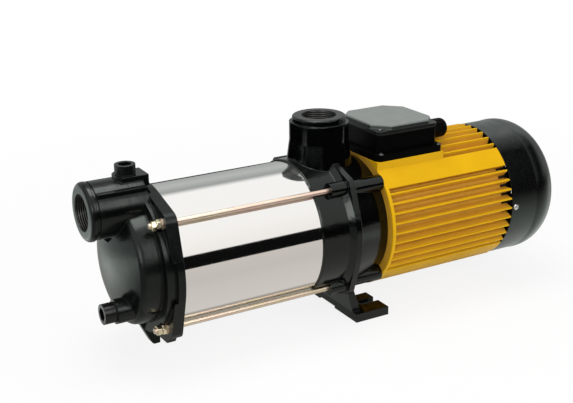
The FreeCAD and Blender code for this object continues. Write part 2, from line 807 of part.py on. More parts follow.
revolved(body, Drawing(body, "XZ_Plane").outline([
    (wall_rear_x, shaft_r + 1.5),
    (wall_rear_x, lantern_bore_front),
    (shield_front_x, lantern_bore_rear),
    (shield_front_x, bearing_hub_r),
    (front_bearing_x - 3, bearing_hub_r),
    (front_bearing_x - 3, shaft_r + 1.5)]), cut=True)
revolved(body, Drawing(body, "XZ_Plane").outline([
    (chamber_rear_x - 1, 0),
    (chamber_rear_x - 1, seal_cup_r),
    (seat_end_x, seal_cup_r),
    (seat_end_x, seal_bore_r + 0.5),
    (front_bearing_x - 4, seal_bore_r + 0.5),
    (front_bearing_x - 4, front_journal_r + 3),
    (front_bearing_x, front_journal_r + 3),
    (front_bearing_x, front_bearing_r + fit_gap),
    (spigot_end + 1, front_bearing_r + fit_gap),
    (spigot_end + 1, 0)]), cut=True)
sunk(body, Drawing(body, "XY_Plane", discharge_top).circle(discharge_x, 0, port_thread_r), port_thread_length)
elbow_top = discharge_top - port_thread_length
elbow_lean = 22
sunk(body, Drawing(body, "XY_Plane", elbow_top + 1).circle(discharge_x - 4, 0, elbow_r + 2), 9)
elbow = body.newObject("PartDesign::SubtractiveCylinder", "discharge_elbow")
elbow.Radius = elbow_r.number
elbow.setExpression("Radius", elbow_r.text)
elbow.Height = 52
elbow_start = Vector(value(discharge_x) - 4, 0, value(elbow_top) - 2)
elbow.AttachmentSupport = [(origin_plane(body, "XY_Plane"), "")]
elbow.MapMode = "FlatFace"
elbow.AttachmentOffset = Placement(elbow_start, Rotation(Vector(0, 1, 0), 180 + elbow_lean))
body.Tip = elbow
sunk(body, Drawing(body, "XY_Plane", -lantern_bore_rear + 4).circle(ring_rear_x + 26, 0, 5), 24)
rod_hole = sunk(body, Drawing(body, "YZ_Plane", rod_boss_x - 1).circle(rod_side, rod_side, rod_r + fit_gap),
                rod_grip + 2, forward=True)
rod_groove = sunk(body, Drawing(body, "YZ_Plane", shell_rear_x - 1).circle(rod_side, rod_side, rod_r + running_gap),
                  rod_boss_x - shell_rear_x + 1, forward=True)
bolt_hole = sunk(body, Drawing(body, "YZ_Plane", motor_face_x + 1)
                 .circle(bolt_side, bolt_side, motor_bolt_r + fit_gap), 26)
ring_of(body, [rod_hole, rod_groove, bolt_hole], 4)


# Stages: plate with neck ring, closed impeller, diffuser with guide vanes

neck_r = eye_r + neck_wall
neck_ring_r = neck_r + running_gap
plate_bore_r = neck_ring_r + neck_ring_wall
stack_r = shell_bore_r - fit_gap


def swept_vane(inner_r, outer_r, sweep_deg, thickness):
    """Outline of a curved vane between two radii, bowed back by the sweep angle."""
    half = value(thickness) / 2
    mid_r = (value(inner_r) + value(outer_r)) / 2

    def edge(side):
        root = polar(inner_r, math.degrees(side * half / value(inner_r)))
        middle = polar(mid_r, -sweep_deg * 0.38 + math.degrees(side * half / mid_r))
        tip = polar(outer_r, -sweep_deg + math.degrees(side * half / value(outer_r)))
        return root, middle, tip

    root_a, middle_a, tip_a = edge(-1)
    root_b, middle_b, tip_b = edge(1)
    return [(root_a[0], root_a[1], middle_a), tip_a, (tip_b[0], tip_b[1], middle_b), root_b]


def keyway(body, front_x, length):
    """Slot for the key along the top of a bore."""
    sunk(body, Drawing(body, "YZ_Plane", front_x).outline([
        (key_width / -2 - fit_gap, 0), (key_width / 2 + fit_gap, 0),
        (key_width / 2 + fit_gap, key_top + fit_gap), (key_width / -2 - fit_gap, key_top + fit_gap)]),
        length, forward=True)


for stage in range(1, 5):
    front = stage_x(stage)
    turned("stage_plate_%d" % stage, washer_outline(front, front + plate_width, plate_bore_r, stack_r))

for stage in range(1, 5):
    front = stage_x(stage)
    body = new_body("impeller_%d" % stage)
    shroud_x = front + hub_start
    vane_x = shroud_x + shroud_width
    back_x = vane_x + vane_width
    hub_end_x = shroud_x + hub_length
    revolved(body, Drawing(body, "XZ_Plane").outline([
        (shroud_x, shaft_r + fit_gap), (hub_end_x, shaft_r + fit_gap), (hub_end_x, hub_r),
        (back_x + shroud_width, hub_r), (back_x + shroud_width, impeller_r), (back_x, impeller_r),
        (back_x, hub_r + 2), (shroud_x, hub_r - 2)]))
    vane = raised(body, Drawing(body, "YZ_Plane", vane_x - 0.2)
                  .outline(swept_vane(eye_r, impeller_r, 62, vane_thickness)), vane_width + 0.4)
    ring_of(body, [vane], 6)
    revolved(body, Drawing(body, "XZ_Plane").outline([
        (front, eye_r), (shroud_x + 1, eye_r), (vane_x, eye_r + 2), (vane_x, impeller_r),
        (shroud_x, impeller_r), (shroud_x, neck_r), (front, neck_r)]))
    keyway(body, shroud_x - 1, hub_length + 2)

for stage in range(1, 5):
    front = stage_x(stage)
    body = new_body("diffuser_%d" % stage)
    disc_x = front + guide_disc_x
    disc_rear_x = disc_x + guide_disc_width
    cup_x = front + plate_width
    end_x = front + stage_pitch
    revolved(body, Drawing(body, "XZ_Plane").outline([
        (disc_x, spacer_r + running_gap), (disc_rear_x, spacer_r + running_gap),
        (disc_rear_x, impeller_r + guide_gap), (disc_x, impeller_r + guide_gap)]))
    revolved(body, Drawing(body, "XZ_Plane").outline(
        washer_outline(cup_x, end_x, stack_r - stage_wall, stack_r)))
    guide = raised(body, Drawing(body, "YZ_Plane", cup_x).outline(
        swept_vane(impeller_r + guide_gap, stack_r - stage_wall + 0.3, -24, vane_thickness)),
        disc_rear_x - cup_x)
    back_vane = raised(body, Drawing(body, "YZ_Plane", disc_rear_x - 0.2).outline(
        swept_vane(plate_bore_r, impeller_r + guide_gap, 40, vane_thickness)), end_x - disc_rear_x + 0.2)
    ring_of(body, [guide, back_vane], 7)

body = new_body("neck_rings")
for stage in range(1, 5):
    front = stage_x(stage)
    revolved(body, Drawing(body, "XZ_Plane").outline(
        washer_outline(front, front + plate_width, neck_ring_r, plate_bore_r)))

body = new_body("impeller_spacers")
bellows_front_x = chamber_rear_x - seal_face_width - bellows_length - 2
for stage in range(1, 5):
    hub_end_x = stage_x(stage) + hub_start + hub_length
    next_x = stage_x(stage + 1) + hub_start if stage < 4 else bellows_front_x
    revolved(body, Drawing(body, "XZ_Plane").outline(
        washer_outline(hub_end_x, next_x, shaft_r + fit_gap, spacer_r)))
keyway(body, stage_x(1), stage_pitch * 3 + hub_start)

first_hub_x = stage_x(1) + hub_start
body = new_body("impeller_nut")
raised(body, Drawing(body, "YZ_Plane", first_hub_x).outline(regular(10.5, 6)).circle(0, 0, shaft_r + fit_gap),
       9, back=True)
key_front_x = first_hub_x
key_rear_x = stage_x(4) + hub_start + hub_length
body = new_body("impeller_key")
raised(body, Drawing(body, "YZ_Plane", key_front_x).outline([
    (key_width / -2, key_top - key_height), (key_width / 2, key_top - key_height),
    (key_width / 2, key_top), (key_width / -2, key_top)]), key_rear_x - key_front_x)


# Shaft with its journals and keyway

rear_bearing_end_x = rear_bearing_x + rear_bearing_width
body = turned("shaft", [
    (shaft_front_x, 0), (shaft_front_x, shaft_r - 1), (shaft_front_x + 1, shaft_r),
    (front_bearing_x - 6, shaft_r), (front_bearing_x - 6, front_journal_r),
    (front_bearing_x + front_bearing_width, front_journal_r),
    (front_bearing_x + front_bearing_width, core_journal_r),
    (rear_bearing_x, core_journal_r), (rear_bearing_x, rear_journal_r),
    (rear_bearing_end_x, rear_journal_r), (rear_bearing_end_x, fan_journal_r),
    (shaft_end_x - 1, fan_journal_r), (shaft_end_x, fan_journal_r - 1), (shaft_end_x, 0)])
sunk(body, Drawing(body, "YZ_Plane", key_front_x - fit_gap).outline([
    (key_width / -2 - fit_gap, key_top - key_height - fit_gap),
    (key_width / 2 + fit_gap, key_top - key_height - fit_gap),
    (key_width / 2 + fit_gap, key_top), (key_width / -2 - fit_gap, key_top)]),
    key_rear_x - key_front_x + fit_gap * 2, forward=True)


# Mechanical seal: fixed seat in its rubber cup, turning face ring, bellows and spring

seat_face_x = chamber_rear_x
turned("seal_seat", washer_outline(seat_face_x, seat_face_x + seal_seat_width - 1, seal_bore_r, seal_seat_r))
turned("seal_seat_cup", [
    (seat_face_x + 0.5, seal_seat_r), (seat_face_x + seal_seat_width - 1, seal_seat_r),
    (seat_face_x + seal_seat_width - 1, seal_bore_r + 0.5), (seat_face_x + seal_seat_width, seal_bore_r + 0.5),
    (seat_face_x + seal_seat_width, seal_cup_r - fit_gap), (seat_face_x + 0.5, seal_cup_r - fit_gap)])
face_rear_x = seat_face_x - fit_gap
face_front_x = face_rear_x - seal_face_width
turned("seal_face_ring", [
    (face_front_x, seal_bore_r), (face_rear_x, seal_bore_r), (face_rear_x, seal_seat_r - 1.5),
    (face_rear_x - 1.5, seal_seat_r - 1.5), (face_rear_x - 1.5, seal_seat_r), (face_front_x, seal_seat_r)])
turned("seal_bellows", [
    (bellows_front_x, shaft_r + fit_gap), (face_front_x, shaft_r + fit_gap), (face_front_x, seal_seat_r),
    (face_front_x - 2, seal_seat_r), (face_front_x - 3, spring_r - spring_wire_r * 2),
    (bellows_front_x + 2, spring_r - spring_wire_r * 2), (bellows_front_x + 1, seal_seat_r),
    (bellows_front_x, seal_seat_r)])

turns = 3
spring_length = value(face_front_x) - 3 - value(bellows_front_x) - 2 - 2 * value(spring_wire_r)
helix = Part.makeHelix(spring_length / turns, spring_length, value(spring_r) - value(spring_wire_r))
wire_start = Vector(value(spring_r) - value(spring_wire_r), 0, 0)
half_wire = value(spring_wire_r) * 0.8
section = Part.makePolygon([wire_start + Vector(across * half_wire, 0, up * half_wire)
                            for across, up in ((-1, -1), (1, -1), (1, 1), (-1, 1), (-1, -1))])
coil = Part.Wire(helix.Edges).makePipeShell([section], True, True)
spring = doc.addObject("Part::Feature", "seal_spring")
spring.Label = "seal_spring"
spring.Shape = coil
spring_x = bellows_front_x + 2 + spring_wire_r
spring.Placement = Placement(Vector(spring_x.number, 0, axis_height.number), Rotation(Vector(0, 1, 0), 90))
spring.setExpression("Placement.Base.x", spring_x.text)
spring.setExpression("Placement.Base.z", axis_height.text)
sub_parts.append(spring)

turned("water_slinger", [
    (slinger_x, shaft_r + fit_gap), (slinger_x + 8, shaft_r + fit_gap), (slinger_x + 8, shaft_r + 4),
    (slinger_x + 4, shaft_r + 5), (slinger_x + 5, slinger_r), (slinger_x + 3, slinger_r),
    (slinger_x, shaft_r + 6)])


# Ball bearings: outer ring, inner ring, and balls with their cage

def bearing(prefix, front_x, width, bore_r, outer_r, balls):
    """A deep-groove bearing whose running parts clear each other by a hair."""
    ball_r = (outer_r - bore_r) * 0.29
    pitch_r = (outer_r + bore_r) / 2
    groove_r = ball_r + 0.06
    middle = front_x + width / 2
    shoulder = (outer_r - bore_r) * 0.31
    inner_lip = bore_r + shoulder
    outer_lip = outer_r - shoulder
    lip_rise = value(pitch_r) - value(inner_lip)
    half_chord = math.sqrt(value(groove_r) ** 2 - lip_rise ** 2)
    turned(prefix + "_outer", [
        (front_x, outer_r), (front_x, outer_lip), (middle - half_chord, outer_lip, (middle, pitch_r + groove_r)),
        (middle + half_chord, outer_lip), (front_x + width, outer_lip), (front_x + width, outer_r)])
    turned(prefix + "_inner", [
        (front_x, bore_r + fit_gap), (front_x + width, bore_r + fit_gap), (front_x + width, inner_lip),
        (middle + half_chord, inner_lip, (middle, pitch_r - groove_r)), (middle - half_chord, inner_lip),
        (front_x, inner_lip)])
    body = new_body(prefix + "_balls")
    ball = body.newObject("PartDesign::AdditiveSphere", prefix + "_ball")
    ball.Radius = ball_r.number
    ball.setExpression("Radius", ball_r.text)
    ball.AttachmentSupport = [(origin_plane(body, "XY_Plane"), "")]
    ball.MapMode = "FlatFace"
    ball.AttachmentOffset = Placement(Vector(middle.number, 0, pitch_r.number), Rotation())
    ball.setExpression("AttachmentOffset.Base.x", middle.text)
    ball.setExpression("AttachmentOffset.Base.z", pitch_r.text)
    body.Tip = ball
    ring_of(body, [ball], balls)
    revolved(body, Drawing(body, "XZ_Plane").outline(
        washer_outline(middle - 0.6, middle + 0.6, pitch_r - 1.2, pitch_r + 1.2)))


bearing("front_bearing", front_bearing_x, front_bearing_width, front_journal_r, front_bearing_r, 8)
bearing("rear_bearing", rear_bearing_x, rear_bearing_width, rear_journal_r, rear_bearing_r, 7)
turned("wave_washer", [
    (rear_bearing_end_x + fit_gap, rear_bearing_r - 5), (rear_bearing_end_x + 0.5 + fit_gap, rear_bearing_r - 5),
    (rear_bearing_end_x + wave_width, rear_bearing_r - 0.3),
    (rear_bearing_end_x + wave_width - 0.5, rear_bearing_r - 0.3)])


# Motor housing: casting with V fins that overhang its rear end, four smooth bands and a flat for the box

body = new_body("motor_housing")
revolved(body, Drawing(body, "XZ_Plane").outline([
    (motor_face_x, motor_bore_r), (core_end_x, motor_bore_r), (core_end_x, motor_core_r),
    (motor_face_x + rim_width, motor_core_r), (motor_face_x + rim_width, motor_r - 1),
    (motor_face_x + rim_width - 1, motor_r), (motor_face_x, motor_r)]))
fin_length = motor_rear_x - motor_face_x - rim_width + 1


def fin_outline(degrees):
    """Tapered section of one fin at an angle from the horizontal."""
    across = Vector(-math.sin(math.radians(degrees)), math.cos(math.radians(degrees)), 0)
    root, tip = polar(motor_core_r - 1.5, degrees), polar(motor_r, degrees)

    def shifted(point, width, side):
        return (point[0] + width * (across.x * side / 2), point[1] + width * (across.y * side / 2))

    return [shifted(root, fin_base, -1), shifted(tip, fin_tip, -1),
            shifted(tip, fin_tip, 1), shifted(root, fin_base, 1)]


fin_sketch = Drawing(body, "YZ_Plane", motor_face_x + rim_width - 1)
for step in range(-4, 5):
    fin_sketch.outline(fin_outline(fin_pitch_deg.number * step))
fins = raised(body, fin_sketch, fin_length)
band_end_deg = 90 - band_start_deg.number
band = raised(body, Drawing(body, "YZ_Plane", motor_face_x + rim_width - 1).outline([
    polar(motor_core_r - 1, band_start_deg.number),
    polar(motor_r, band_start_deg.number) + (polar(motor_r, 45),),
    polar(motor_r, band_end_deg),
    polar(motor_core_r - 1, band_end_deg)]), fin_length)
ring_of(body, [fins, band], 4)
raised(body, Drawing(body, "XY_Plane", box_pad_rise).outline([
    (motor_face_x, -box_half), (box_pad_rear_x, -box_half),
    (box_pad_rear_x, box_half), (motor_face_x, box_half)]), 22, back=True)
revolved(body, Drawing(body, "XZ_Plane").outline([
    (motor_face_x - 1, 0), (motor_face_x - 1, motor_bore_r), (motor_rear_x + 1, motor_bore_r),
    (motor_rear_x + 1, 0)]), cut=True)
sunk(body, Drawing(body, "XY_Plane", box_pad_rise).outline([
    (motor_face_x - 1, -box_half), (box_pad_rear_x + running_gap, -box_half),
    (box_pad_rear_x + running_gap, box_half), (motor_face_x - 1, box_half)]), 12, forward=True)
sunk(body, Drawing(body, "XY_Plane", box_pad_rise + 1).circle(wire_hole_x, 0, 9), 20)
screw_places = []
for end in (motor_face_x + box_screw_inset + 1, box_pad_rear_x - box_screw_inset):
    for side in (-1, 1):
        screw_places.append((end, (box_half - box_screw_inset * 0.45) * side))
for x, y in screw_places:
    sunk(body, Drawing(body, "XY_Plane", box_pad_rise + 1).circle(x, y, 1.7), 9)
hole = sunk(body, Drawing(body, "YZ_Plane", motor_face_x - 1)
            .circle(bolt_side, bolt_side, motor_bolt_r + running_gap), motor_rear_x - motor_face_x + 2,
            forward=True)
ring_of(body, [hole], 4)


# Stator, windings and rotor

stator_rear_x = stator_front_x + stator_length
turned("stator_core", washer_outline(stator_front_x, stator_rear_x, stator_bore_r, motor_bore_r - fit_gap))
body = new_body("windings")
for start, stop in ((stator_front_x - coil_length, stator_front_x), (stator_rear_x, stator_rear_x + coil_length)):
    revolved(body, Drawing(body, "XZ_Plane").outline([
        (start, stator_bore_r + 6), (stop, stator_bore_r + 3), (stop, motor_bore_r - 6), (start, motor_bore_r - 9)]))
rotor_r = stator_bore_r - air_gap
turned("rotor_core", [
    (stator_front_x - end_ring_width, core_journal_r + 8), (stator_front_x, core_journal_r + 8),
    (stator_front_x, core_journal_r + fit_gap), (stator_rear_x, core_journal_r + fit_gap),
    (stator_rear_x, core_journal_r + 8), (stator_rear_x + end_ring_width, core_journal_r + 8),
    (stator_rear_x + end_ring_width, rotor_r - 2), (stator_rear_x, rotor_r - 2), (stator_rear_x, rotor_r),
    (stator_front_x, rotor_r), (stator_front_x, rotor_r - 2), (stator_front_x - end_ring_width, rotor_r - 2)])


# Rear shield inside the fins, with the bearing seat, four bolt lugs and three tabs for the fan cover

body = new_body("rear_shield")
shoulder_x = rear_bearing_end_x + wave_width
seat_r = rear_bearing_r + fit_gap
revolved(body, Drawing(body, "XZ_Plane").outline([
    (hub_front_x, seat_r), (shoulder_x, seat_r), (shoulder_x, rear_journal_r + 2),
    (motor_rear_x + shield_width, rear_journal_r + 2), (motor_rear_x + shield_width, shield_r),
    (core_end_x, shield_r), (core_end_x, motor_bore_r - fit_gap), (core_end_x - 4, motor_bore_r - fit_gap),
    (core_end_x - 4, motor_bore_r - 6), (motor_rear_x, motor_bore_r - 10),
    (motor_rear_x, rear_bearing_r + hub_wall + 4), (hub_front_x, rear_bearing_r + hub_wall)]))
shield_lug = raised(body, Drawing(body, "YZ_Plane", motor_rear_x).outline(
    lug_outline(shield_r, motor_bolt_circle_r, shield_lug_r, 45)), shield_width)
ring_of(body, [shield_lug], 4)
tab = raised(body, Drawing(body, "YZ_Plane", motor_rear_x + shield_width - 1).outline([
    (6 - shield_r, -7), (6 - shield_r, 7), (0.8 - tab_r, 7), (-tab_r, 0), (0.8 - tab_r, -7)]), tab_length)
ring_of(body, [tab], 3)
hole = sunk(body, Drawing(body, "YZ_Plane", motor_rear_x - 1)
            .circle(bolt_side, bolt_side, motor_bolt_r + running_gap), shield_width + 2, forward=True)
ring_of(body, [hole], 4)
tab_hole = sunk(body, Drawing(body, "XZ_Plane", tab_r + 1).circle(cover_screw_x, 0, 2.1), 10)
ring_of(body, [tab_hole], 3)

body = new_body("motor_bolts")
head_x = motor_rear_x + shield_width
bolt_end_x = motor_face_x - 22
bolt = raised(body, Drawing(body, "YZ_Plane", bolt_end_x).circle(bolt_side, bolt_side, motor_bolt_r),
              head_x - bolt_end_x)
head = raised(body, Drawing(body, "YZ_Plane", head_x).outline(regular(3.9, 6, bolt_side, bolt_side, 15)), 4)
ring_of(body, [bolt, head], 4)


# Cooling fan, its clip, and the fan cover with screws

body = new_body("cooling_fan")
revolved(body, Drawing(body, "XZ_Plane").outline([
    (fan_x, fan_journal_r + fit_gap), (fan_x + fan_hub_length, fan_journal_r + fit_gap),
    (fan_x + fan_hub_length, fan_hub_r - 1), (fan_x + fan_disc_width + 2, fan_hub_r),
    (fan_x + fan_disc_width, fan_hub_r + 3), (fan_x + fan_disc_width, fan_r), (fan_x, fan_r)]))
blade = raised(body, Drawing(body, "XZ_Plane").outline([
    (fan_x + fan_disc_width - 0.5, fan_hub_r - 1), (fan_x + fan_disc_width - 0.5, fan_r),
    (fan_x + fan_blade_length, fan_r - 6), (fan_x + fan_blade_length, fan_hub_r + 12),
    (fan_x + fan_hub_length - 2, fan_hub_r - 1)]), 2, both=True)
ring_of(body, [blade], 7)
body = new_body("fan_clip")
clip_x = fan_x + fan_hub_length
raised(body, Drawing(body, "YZ_Plane", clip_x).circle(0, 0, fan_journal_r + 3.5)
       .circle(0, 0, fan_journal_r + fit_gap), clip_width)

body = new_body("fan_cover")
round_start_x = cover_rear_x - cover_round_length
end_r = cover_r - cover_round_drop
arc_mid = (round_start_x + cover_round_length * cos45, end_r + cover_round_drop * cos45)
inner_mid = (arc_mid[0] - cover_wall * 0.6, arc_mid[1] - cover_wall * 0.85)
revolved(body, Drawing(body, "XZ_Plane").outline([
    (cover_front_x, cover_r - cover_wall), (cover_front_x, cover_r),
    (round_start_x, cover_r, arc_mid), (cover_rear_x, end_r),
    (cover_rear_x, 0), (cover_rear_x - cover_wall, 0),
    (cover_rear_x - cover_wall, end_r - 1, inner_mid),
    (round_start_x, cover_r - cover_wall)]))
slot = sunk(body, Drawing(body, "YZ_Plane", cover_rear_x + 1).outline([
    (grille_slot / -2, grille_inner_r, (0, grille_inner_r - grille_slot / 2)),
    (grille_slot / 2, grille_inner_r),
    (grille_slot / 2, grille_outer_r, (0, grille_outer_r + grille_slot / 2)),
    (grille_slot / -2, grille_outer_r)]), cover_wall + 2)
ring_of(body, [slot], 18)
hole = sunk(body, Drawing(body, "XZ_Plane", cover_r + 1).circle(cover_screw_x, 0, 2.3), 4)
ring_of(body, [hole], 3)
body = new_body("fan_cover_screws")
shank = raised(body, Drawing(body, "XZ_Plane", cover_r).circle(cover_screw_x, 0, 2), 8, back=True)
head = raised(body, Drawing(body, "XZ_Plane", cover_r).circle(cover_screw_x, 0, 3.6), 2)
ring_of(body, [shank, head], 3)


# Terminal box with its gasket, lid, screws, terminal block and cable gland

def cut_corner_box(front, rear, half, small, large):
    """Rectangle whose cut corners are large across one diagonal and small across the other."""
    return [(front + large, -half), (rear - small, -half), (rear, -half + small), (rear, half - large),
            (rear - large, half), (front + small, half), (front, half - small), (front, -half + large)]


body = new_body("terminal_box")
flange_top = box_pad_rise + box_flange_height
raised(body, Drawing(body, "XY_Plane", box_pad_rise).outline(
    cut_corner_box(motor_face_x + 0.5, box_pad_rear_x, box_half, box_corner, box_corner)),
    box_flange_height)
wall_front_x, wall_rear = motor_face_x + box_step, box_pad_rear_x - box_step
wall_half = box_half - box_step
raised(body, Drawing(body, "XY_Plane", flange_top - 1).outline(
    cut_corner_box(wall_front_x, wall_rear, wall_half, box_corner, box_corner)),
    box_top - flange_top + 1)
sunk(body, Drawing(body, "XY_Plane", box_top + 1).outline(
    cut_corner_box(wall_front_x + box_wall, wall_rear - box_wall, wall_half - box_wall,
                   box_corner - 1, box_corner - 1)), box_top - box_pad_rise - box_wall + 1)
gland_face_x = box_pad_rear_x + 0.1
raised(body, Drawing(body, "YZ_Plane", wall_rear - 1).circle(gland_side, gland_rise, gland_r - 1.8),
       gland_face_x - wall_rear + 1)
sunk(body, Drawing(body, "XY_Plane", box_pad_rise + box_wall + 1).circle(wire_hole_x, 0, 9), 6)
sunk(body, Drawing(body, "YZ_Plane", gland_face_x + 1).circle(gland_side, gland_rise, gland_thread_r + fit_gap),
     box_wall + box_step + 2)
for x, y in screw_places:
    sunk(body, Drawing(body, "XY_Plane", flange_top + 1).circle(x, y, 1.7), box_flange_height + 2)

body = new_body("terminal_box_gasket")
raised(body, Drawing(body, "XY_Plane", box_top)
       .outline(cut_corner_box(wall_front_x, wall_rear, wall_half, box_corner, box_corner))
       .outline(cut_corner_box(wall_front_x + box_wall, wall_rear - box_wall, wall_half - box_wall,
                               box_corner - 1, box_corner - 1)), gasket_height)

body = new_body("terminal_lid")
lid_base = box_top + gasket_height
raised(body, Drawing(body, "XY_Plane", lid_base).outline(
    cut_corner_box(wall_front_x - 0.5, wall_rear + 0.5, wall_half + 0.5, box_corner, box_corner)),
    lid_skirt)
lower = Drawing(body, "XY_Plane", lid_base + lid_skirt).outline(
    cut_corner_box(lid_front_x - 1.5, lid_rear_x + 1, lid_half + 1.5, lid_corner_small, lid_corner_large)).done()
upper = Drawing(body, "XY_Plane", lid_top).outline(
    cut_corner_box(lid_front_x, lid_rear_x, lid_half, lid_corner_small, lid_corner_large)).done()
loft = body.newObject("PartDesign::AdditiveLoft", "terminal_lid_top")
loft.Profile = lower
loft.Sections = [upper]
loft.Ruled = True
body.Tip = loft
lid_screw_places = ((lid_front_x + 4, -(lid_half - 4)), (lid_rear_x - 4, lid_half - 4))
for x, y in lid_screw_places:
    sunk(body, Drawing(body, "XY_Plane", lid_top + 1).circle(x, y, 2.1), lid_top - lid_base + 2)

body = new_body("terminal_lid_screws")
for x, y in lid_screw_places:
    raised(body, Drawing(body, "XY_Plane", lid_base + lid_skirt).circle(x, y, 3.4), 2.2)
    raised(body, Drawing(body, "XY_Plane", lid_base + lid_skirt).circle(x, y, 2), 10, back=True)

body = new_body("terminal_box_screws")
for x, y in screw_places:
    raised(body, Drawing(body, "XY_Plane", flange_top).circle(x, y, 3), 2)
    raised(body, Drawing(body, "XY_Plane", flange_top).circle(x, y, 1.6), box_flange_height + 6, back=True)

body = new_body("terminal_block")
block_x = box_middle_x + 6
block_base = box_pad_rise + box_wall
raised(body, Drawing(body, "XY_Plane", block_base).outline([
    (block_x - 18, -14), (block_x + 18, -14), (block_x + 18, 14), (block_x - 18, 14)]), 8)
for across in (-11, 0, 11):
    for side in (-7, 7):
        raised(body, Drawing(body, "XY_Plane", block_base).circle(block_x + across, side, 2), 16)

body = new_body("cable_gland")
raised(body, Drawing(body, "YZ_Plane", gland_face_x)
       .outline(regular(gland_r, 6, gland_side, gland_rise)), gland_hex_length)
raised(body, Drawing(body, "YZ_Plane", gland_face_x).circle(gland_side, gland_rise, gland_thread_r),
       box_wall + box_step + 3, back=True)
neck_start = gland_face_x + gland_hex_length
raised(body, Drawing(body, "YZ_Plane", neck_start - 1).circle(gland_side, gland_rise, gland_thread_r),
       gland_neck_length + 1)
sunk(body, Drawing(body, "YZ_Plane", gland_face_x - box_wall - box_step - 4)
     .circle(gland_side, gland_rise, gland_bore_r + 1.5), 40, forward=True)
body = new_body("gland_nut")
raised(body, Drawing(body, "YZ_Plane", neck_start).circle(gland_side, gland_rise, gland_r), gland_nut_length)
rounded_edges(body, 6, lambda edge: isinstance(edge.Curve, Part.Circle)
              and edge.Curve.Center.x > value(neck_start) + 1)
sunk(body, Drawing(body, "YZ_Plane", neck_start - 1)
     .circle(gland_side, gland_rise, gland_thread_r + fit_gap),
     gland_neck_length + gland_seal_length + 1.2, forward=True)
sunk(body, Drawing(body, "YZ_Plane", neck_start)
     .circle(gland_side, gland_rise, gland_bore_r + 1), 40, forward=True)
body = new_body("gland_seal")
raised(body, Drawing(body, "YZ_Plane", neck_start + gland_neck_length + fit_gap * 2)
       .circle(gland_side, gland_rise, gland_thread_r - 0.2)
       .circle(gland_side, gland_rise, gland_bore_r), gland_seal_length)


# Check every object, then write one file for each piece

doc.recompute()
for item in doc.Objects:
    if "Invalid" in item.State or "Error" in item.State:
        raise RuntimeError("%s is %s" % (item.Label, item.State))
if len(sub_parts) > 60:
    raise RuntimeError("too many pieces")
os.makedirs("parts", exist_ok=True)
for item in sub_parts:
    shape = item.Shape
    if shape.isNull() or not shape.isValid() or not shape.Solids:
        raise RuntimeError("%s has a bad shape" % item.Label)
    shape.exportStep("parts/%s.step" % item.Label)
print("wrote %d pieces" % len(sub_parts))
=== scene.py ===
"""Looks of the horizontal multistage pump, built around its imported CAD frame.

Metres, +Z up, +X from the suction port to the fan. The origin lies under the shaft axis, at the foot.
"""

import math

import bmesh
import bpy
import numpy as np
from mathutils import Matrix, Vector


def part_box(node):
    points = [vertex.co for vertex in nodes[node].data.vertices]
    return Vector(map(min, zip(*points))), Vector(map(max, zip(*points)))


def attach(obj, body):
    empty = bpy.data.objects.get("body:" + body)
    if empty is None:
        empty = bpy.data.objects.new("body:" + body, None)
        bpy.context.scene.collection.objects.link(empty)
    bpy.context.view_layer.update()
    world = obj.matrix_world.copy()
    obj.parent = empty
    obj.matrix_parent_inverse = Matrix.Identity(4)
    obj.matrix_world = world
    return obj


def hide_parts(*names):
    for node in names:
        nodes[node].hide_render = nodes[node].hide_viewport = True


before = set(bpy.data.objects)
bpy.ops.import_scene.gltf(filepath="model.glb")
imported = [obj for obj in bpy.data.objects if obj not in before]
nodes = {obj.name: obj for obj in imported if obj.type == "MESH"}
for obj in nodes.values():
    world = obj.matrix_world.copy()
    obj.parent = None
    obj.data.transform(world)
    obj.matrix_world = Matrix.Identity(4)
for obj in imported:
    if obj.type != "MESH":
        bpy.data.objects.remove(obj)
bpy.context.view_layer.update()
scene = bpy.context.scene

# Camera
# A long lens from the suction end, a little above the pump and on the side of the cable gland.
# The angles and the distance were fitted to the outlines of the ports, the flange and the motor.

CAMERA_AZIMUTH = math.radians(-29.80)
CAMERA_ELEVATION = math.radians(19.28)
CAMERA_ROLL = math.radians(-0.63)
CAMERA_DISTANCE = 1.16989
CAMERA_TARGET = Vector((-0.07608, 0.0, 0.13754))
LENS_MM = 65.63

camera_data = bpy.data.cameras.new("camera")
camera_data.lens = LENS_MM
camera_data.sensor_width = 36.0
camera_data.clip_start = 0.05
camera = bpy.data.objects.new("camera", camera_data)
scene.collection.objects.link(camera)
back = Vector((math.sin(CAMERA_AZIMUTH) * math.cos(CAMERA_ELEVATION),
               -math.cos(CAMERA_AZIMUTH) * math.cos(CAMERA_ELEVATION),
               math.sin(CAMERA_ELEVATION)))
right = Vector((0, 0, 1)).cross(back).normalized()
up = back.cross(right)
tilted_right = right * math.cos(CAMERA_ROLL) + up * math.sin(CAMERA_ROLL)
tilted_up = up * math.cos(CAMERA_ROLL) - right * math.sin(CAMERA_ROLL)
camera.matrix_world = Matrix.Translation(CAMERA_TARGET + back * CAMERA_DISTANCE) @ Matrix(
    (tilted_right, tilted_up, back)).transposed().to_4x4()
scene.camera = camera

# Light tent
# A white tent over the table, open towards the camera. Polished metal therefore shows black above the
# near edge of the paper, then the white roof, and then the greyer far side. All that the lens sees
# directly is white. Angles run in degrees from level at the opening, over the top, to level behind.

BLACK = (0.004, 0.004, 0.004)
WHITE = (1.0, 1.0, 1.0)
OPENING_TOP = 12.4
OPENING_BLUR = 0.4
FAR_SIDE_FROM = 127.0
FAR_SIDE_BLUR = 5.0


def link(tree, source, target):
    """Join an output socket to an input socket."""
    tree.links.new(source, target)


def node(tree, kind, **settings):
    """Add a shader node; the settings are its own fields or, by name, its input sockets."""
    made = tree.nodes.new(kind)
    for key, setting in settings.items():
        if hasattr(made, key):
            setattr(made, key, setting)
        else:
            made.inputs[key.replace("_", " ")].default_value = setting
    return made


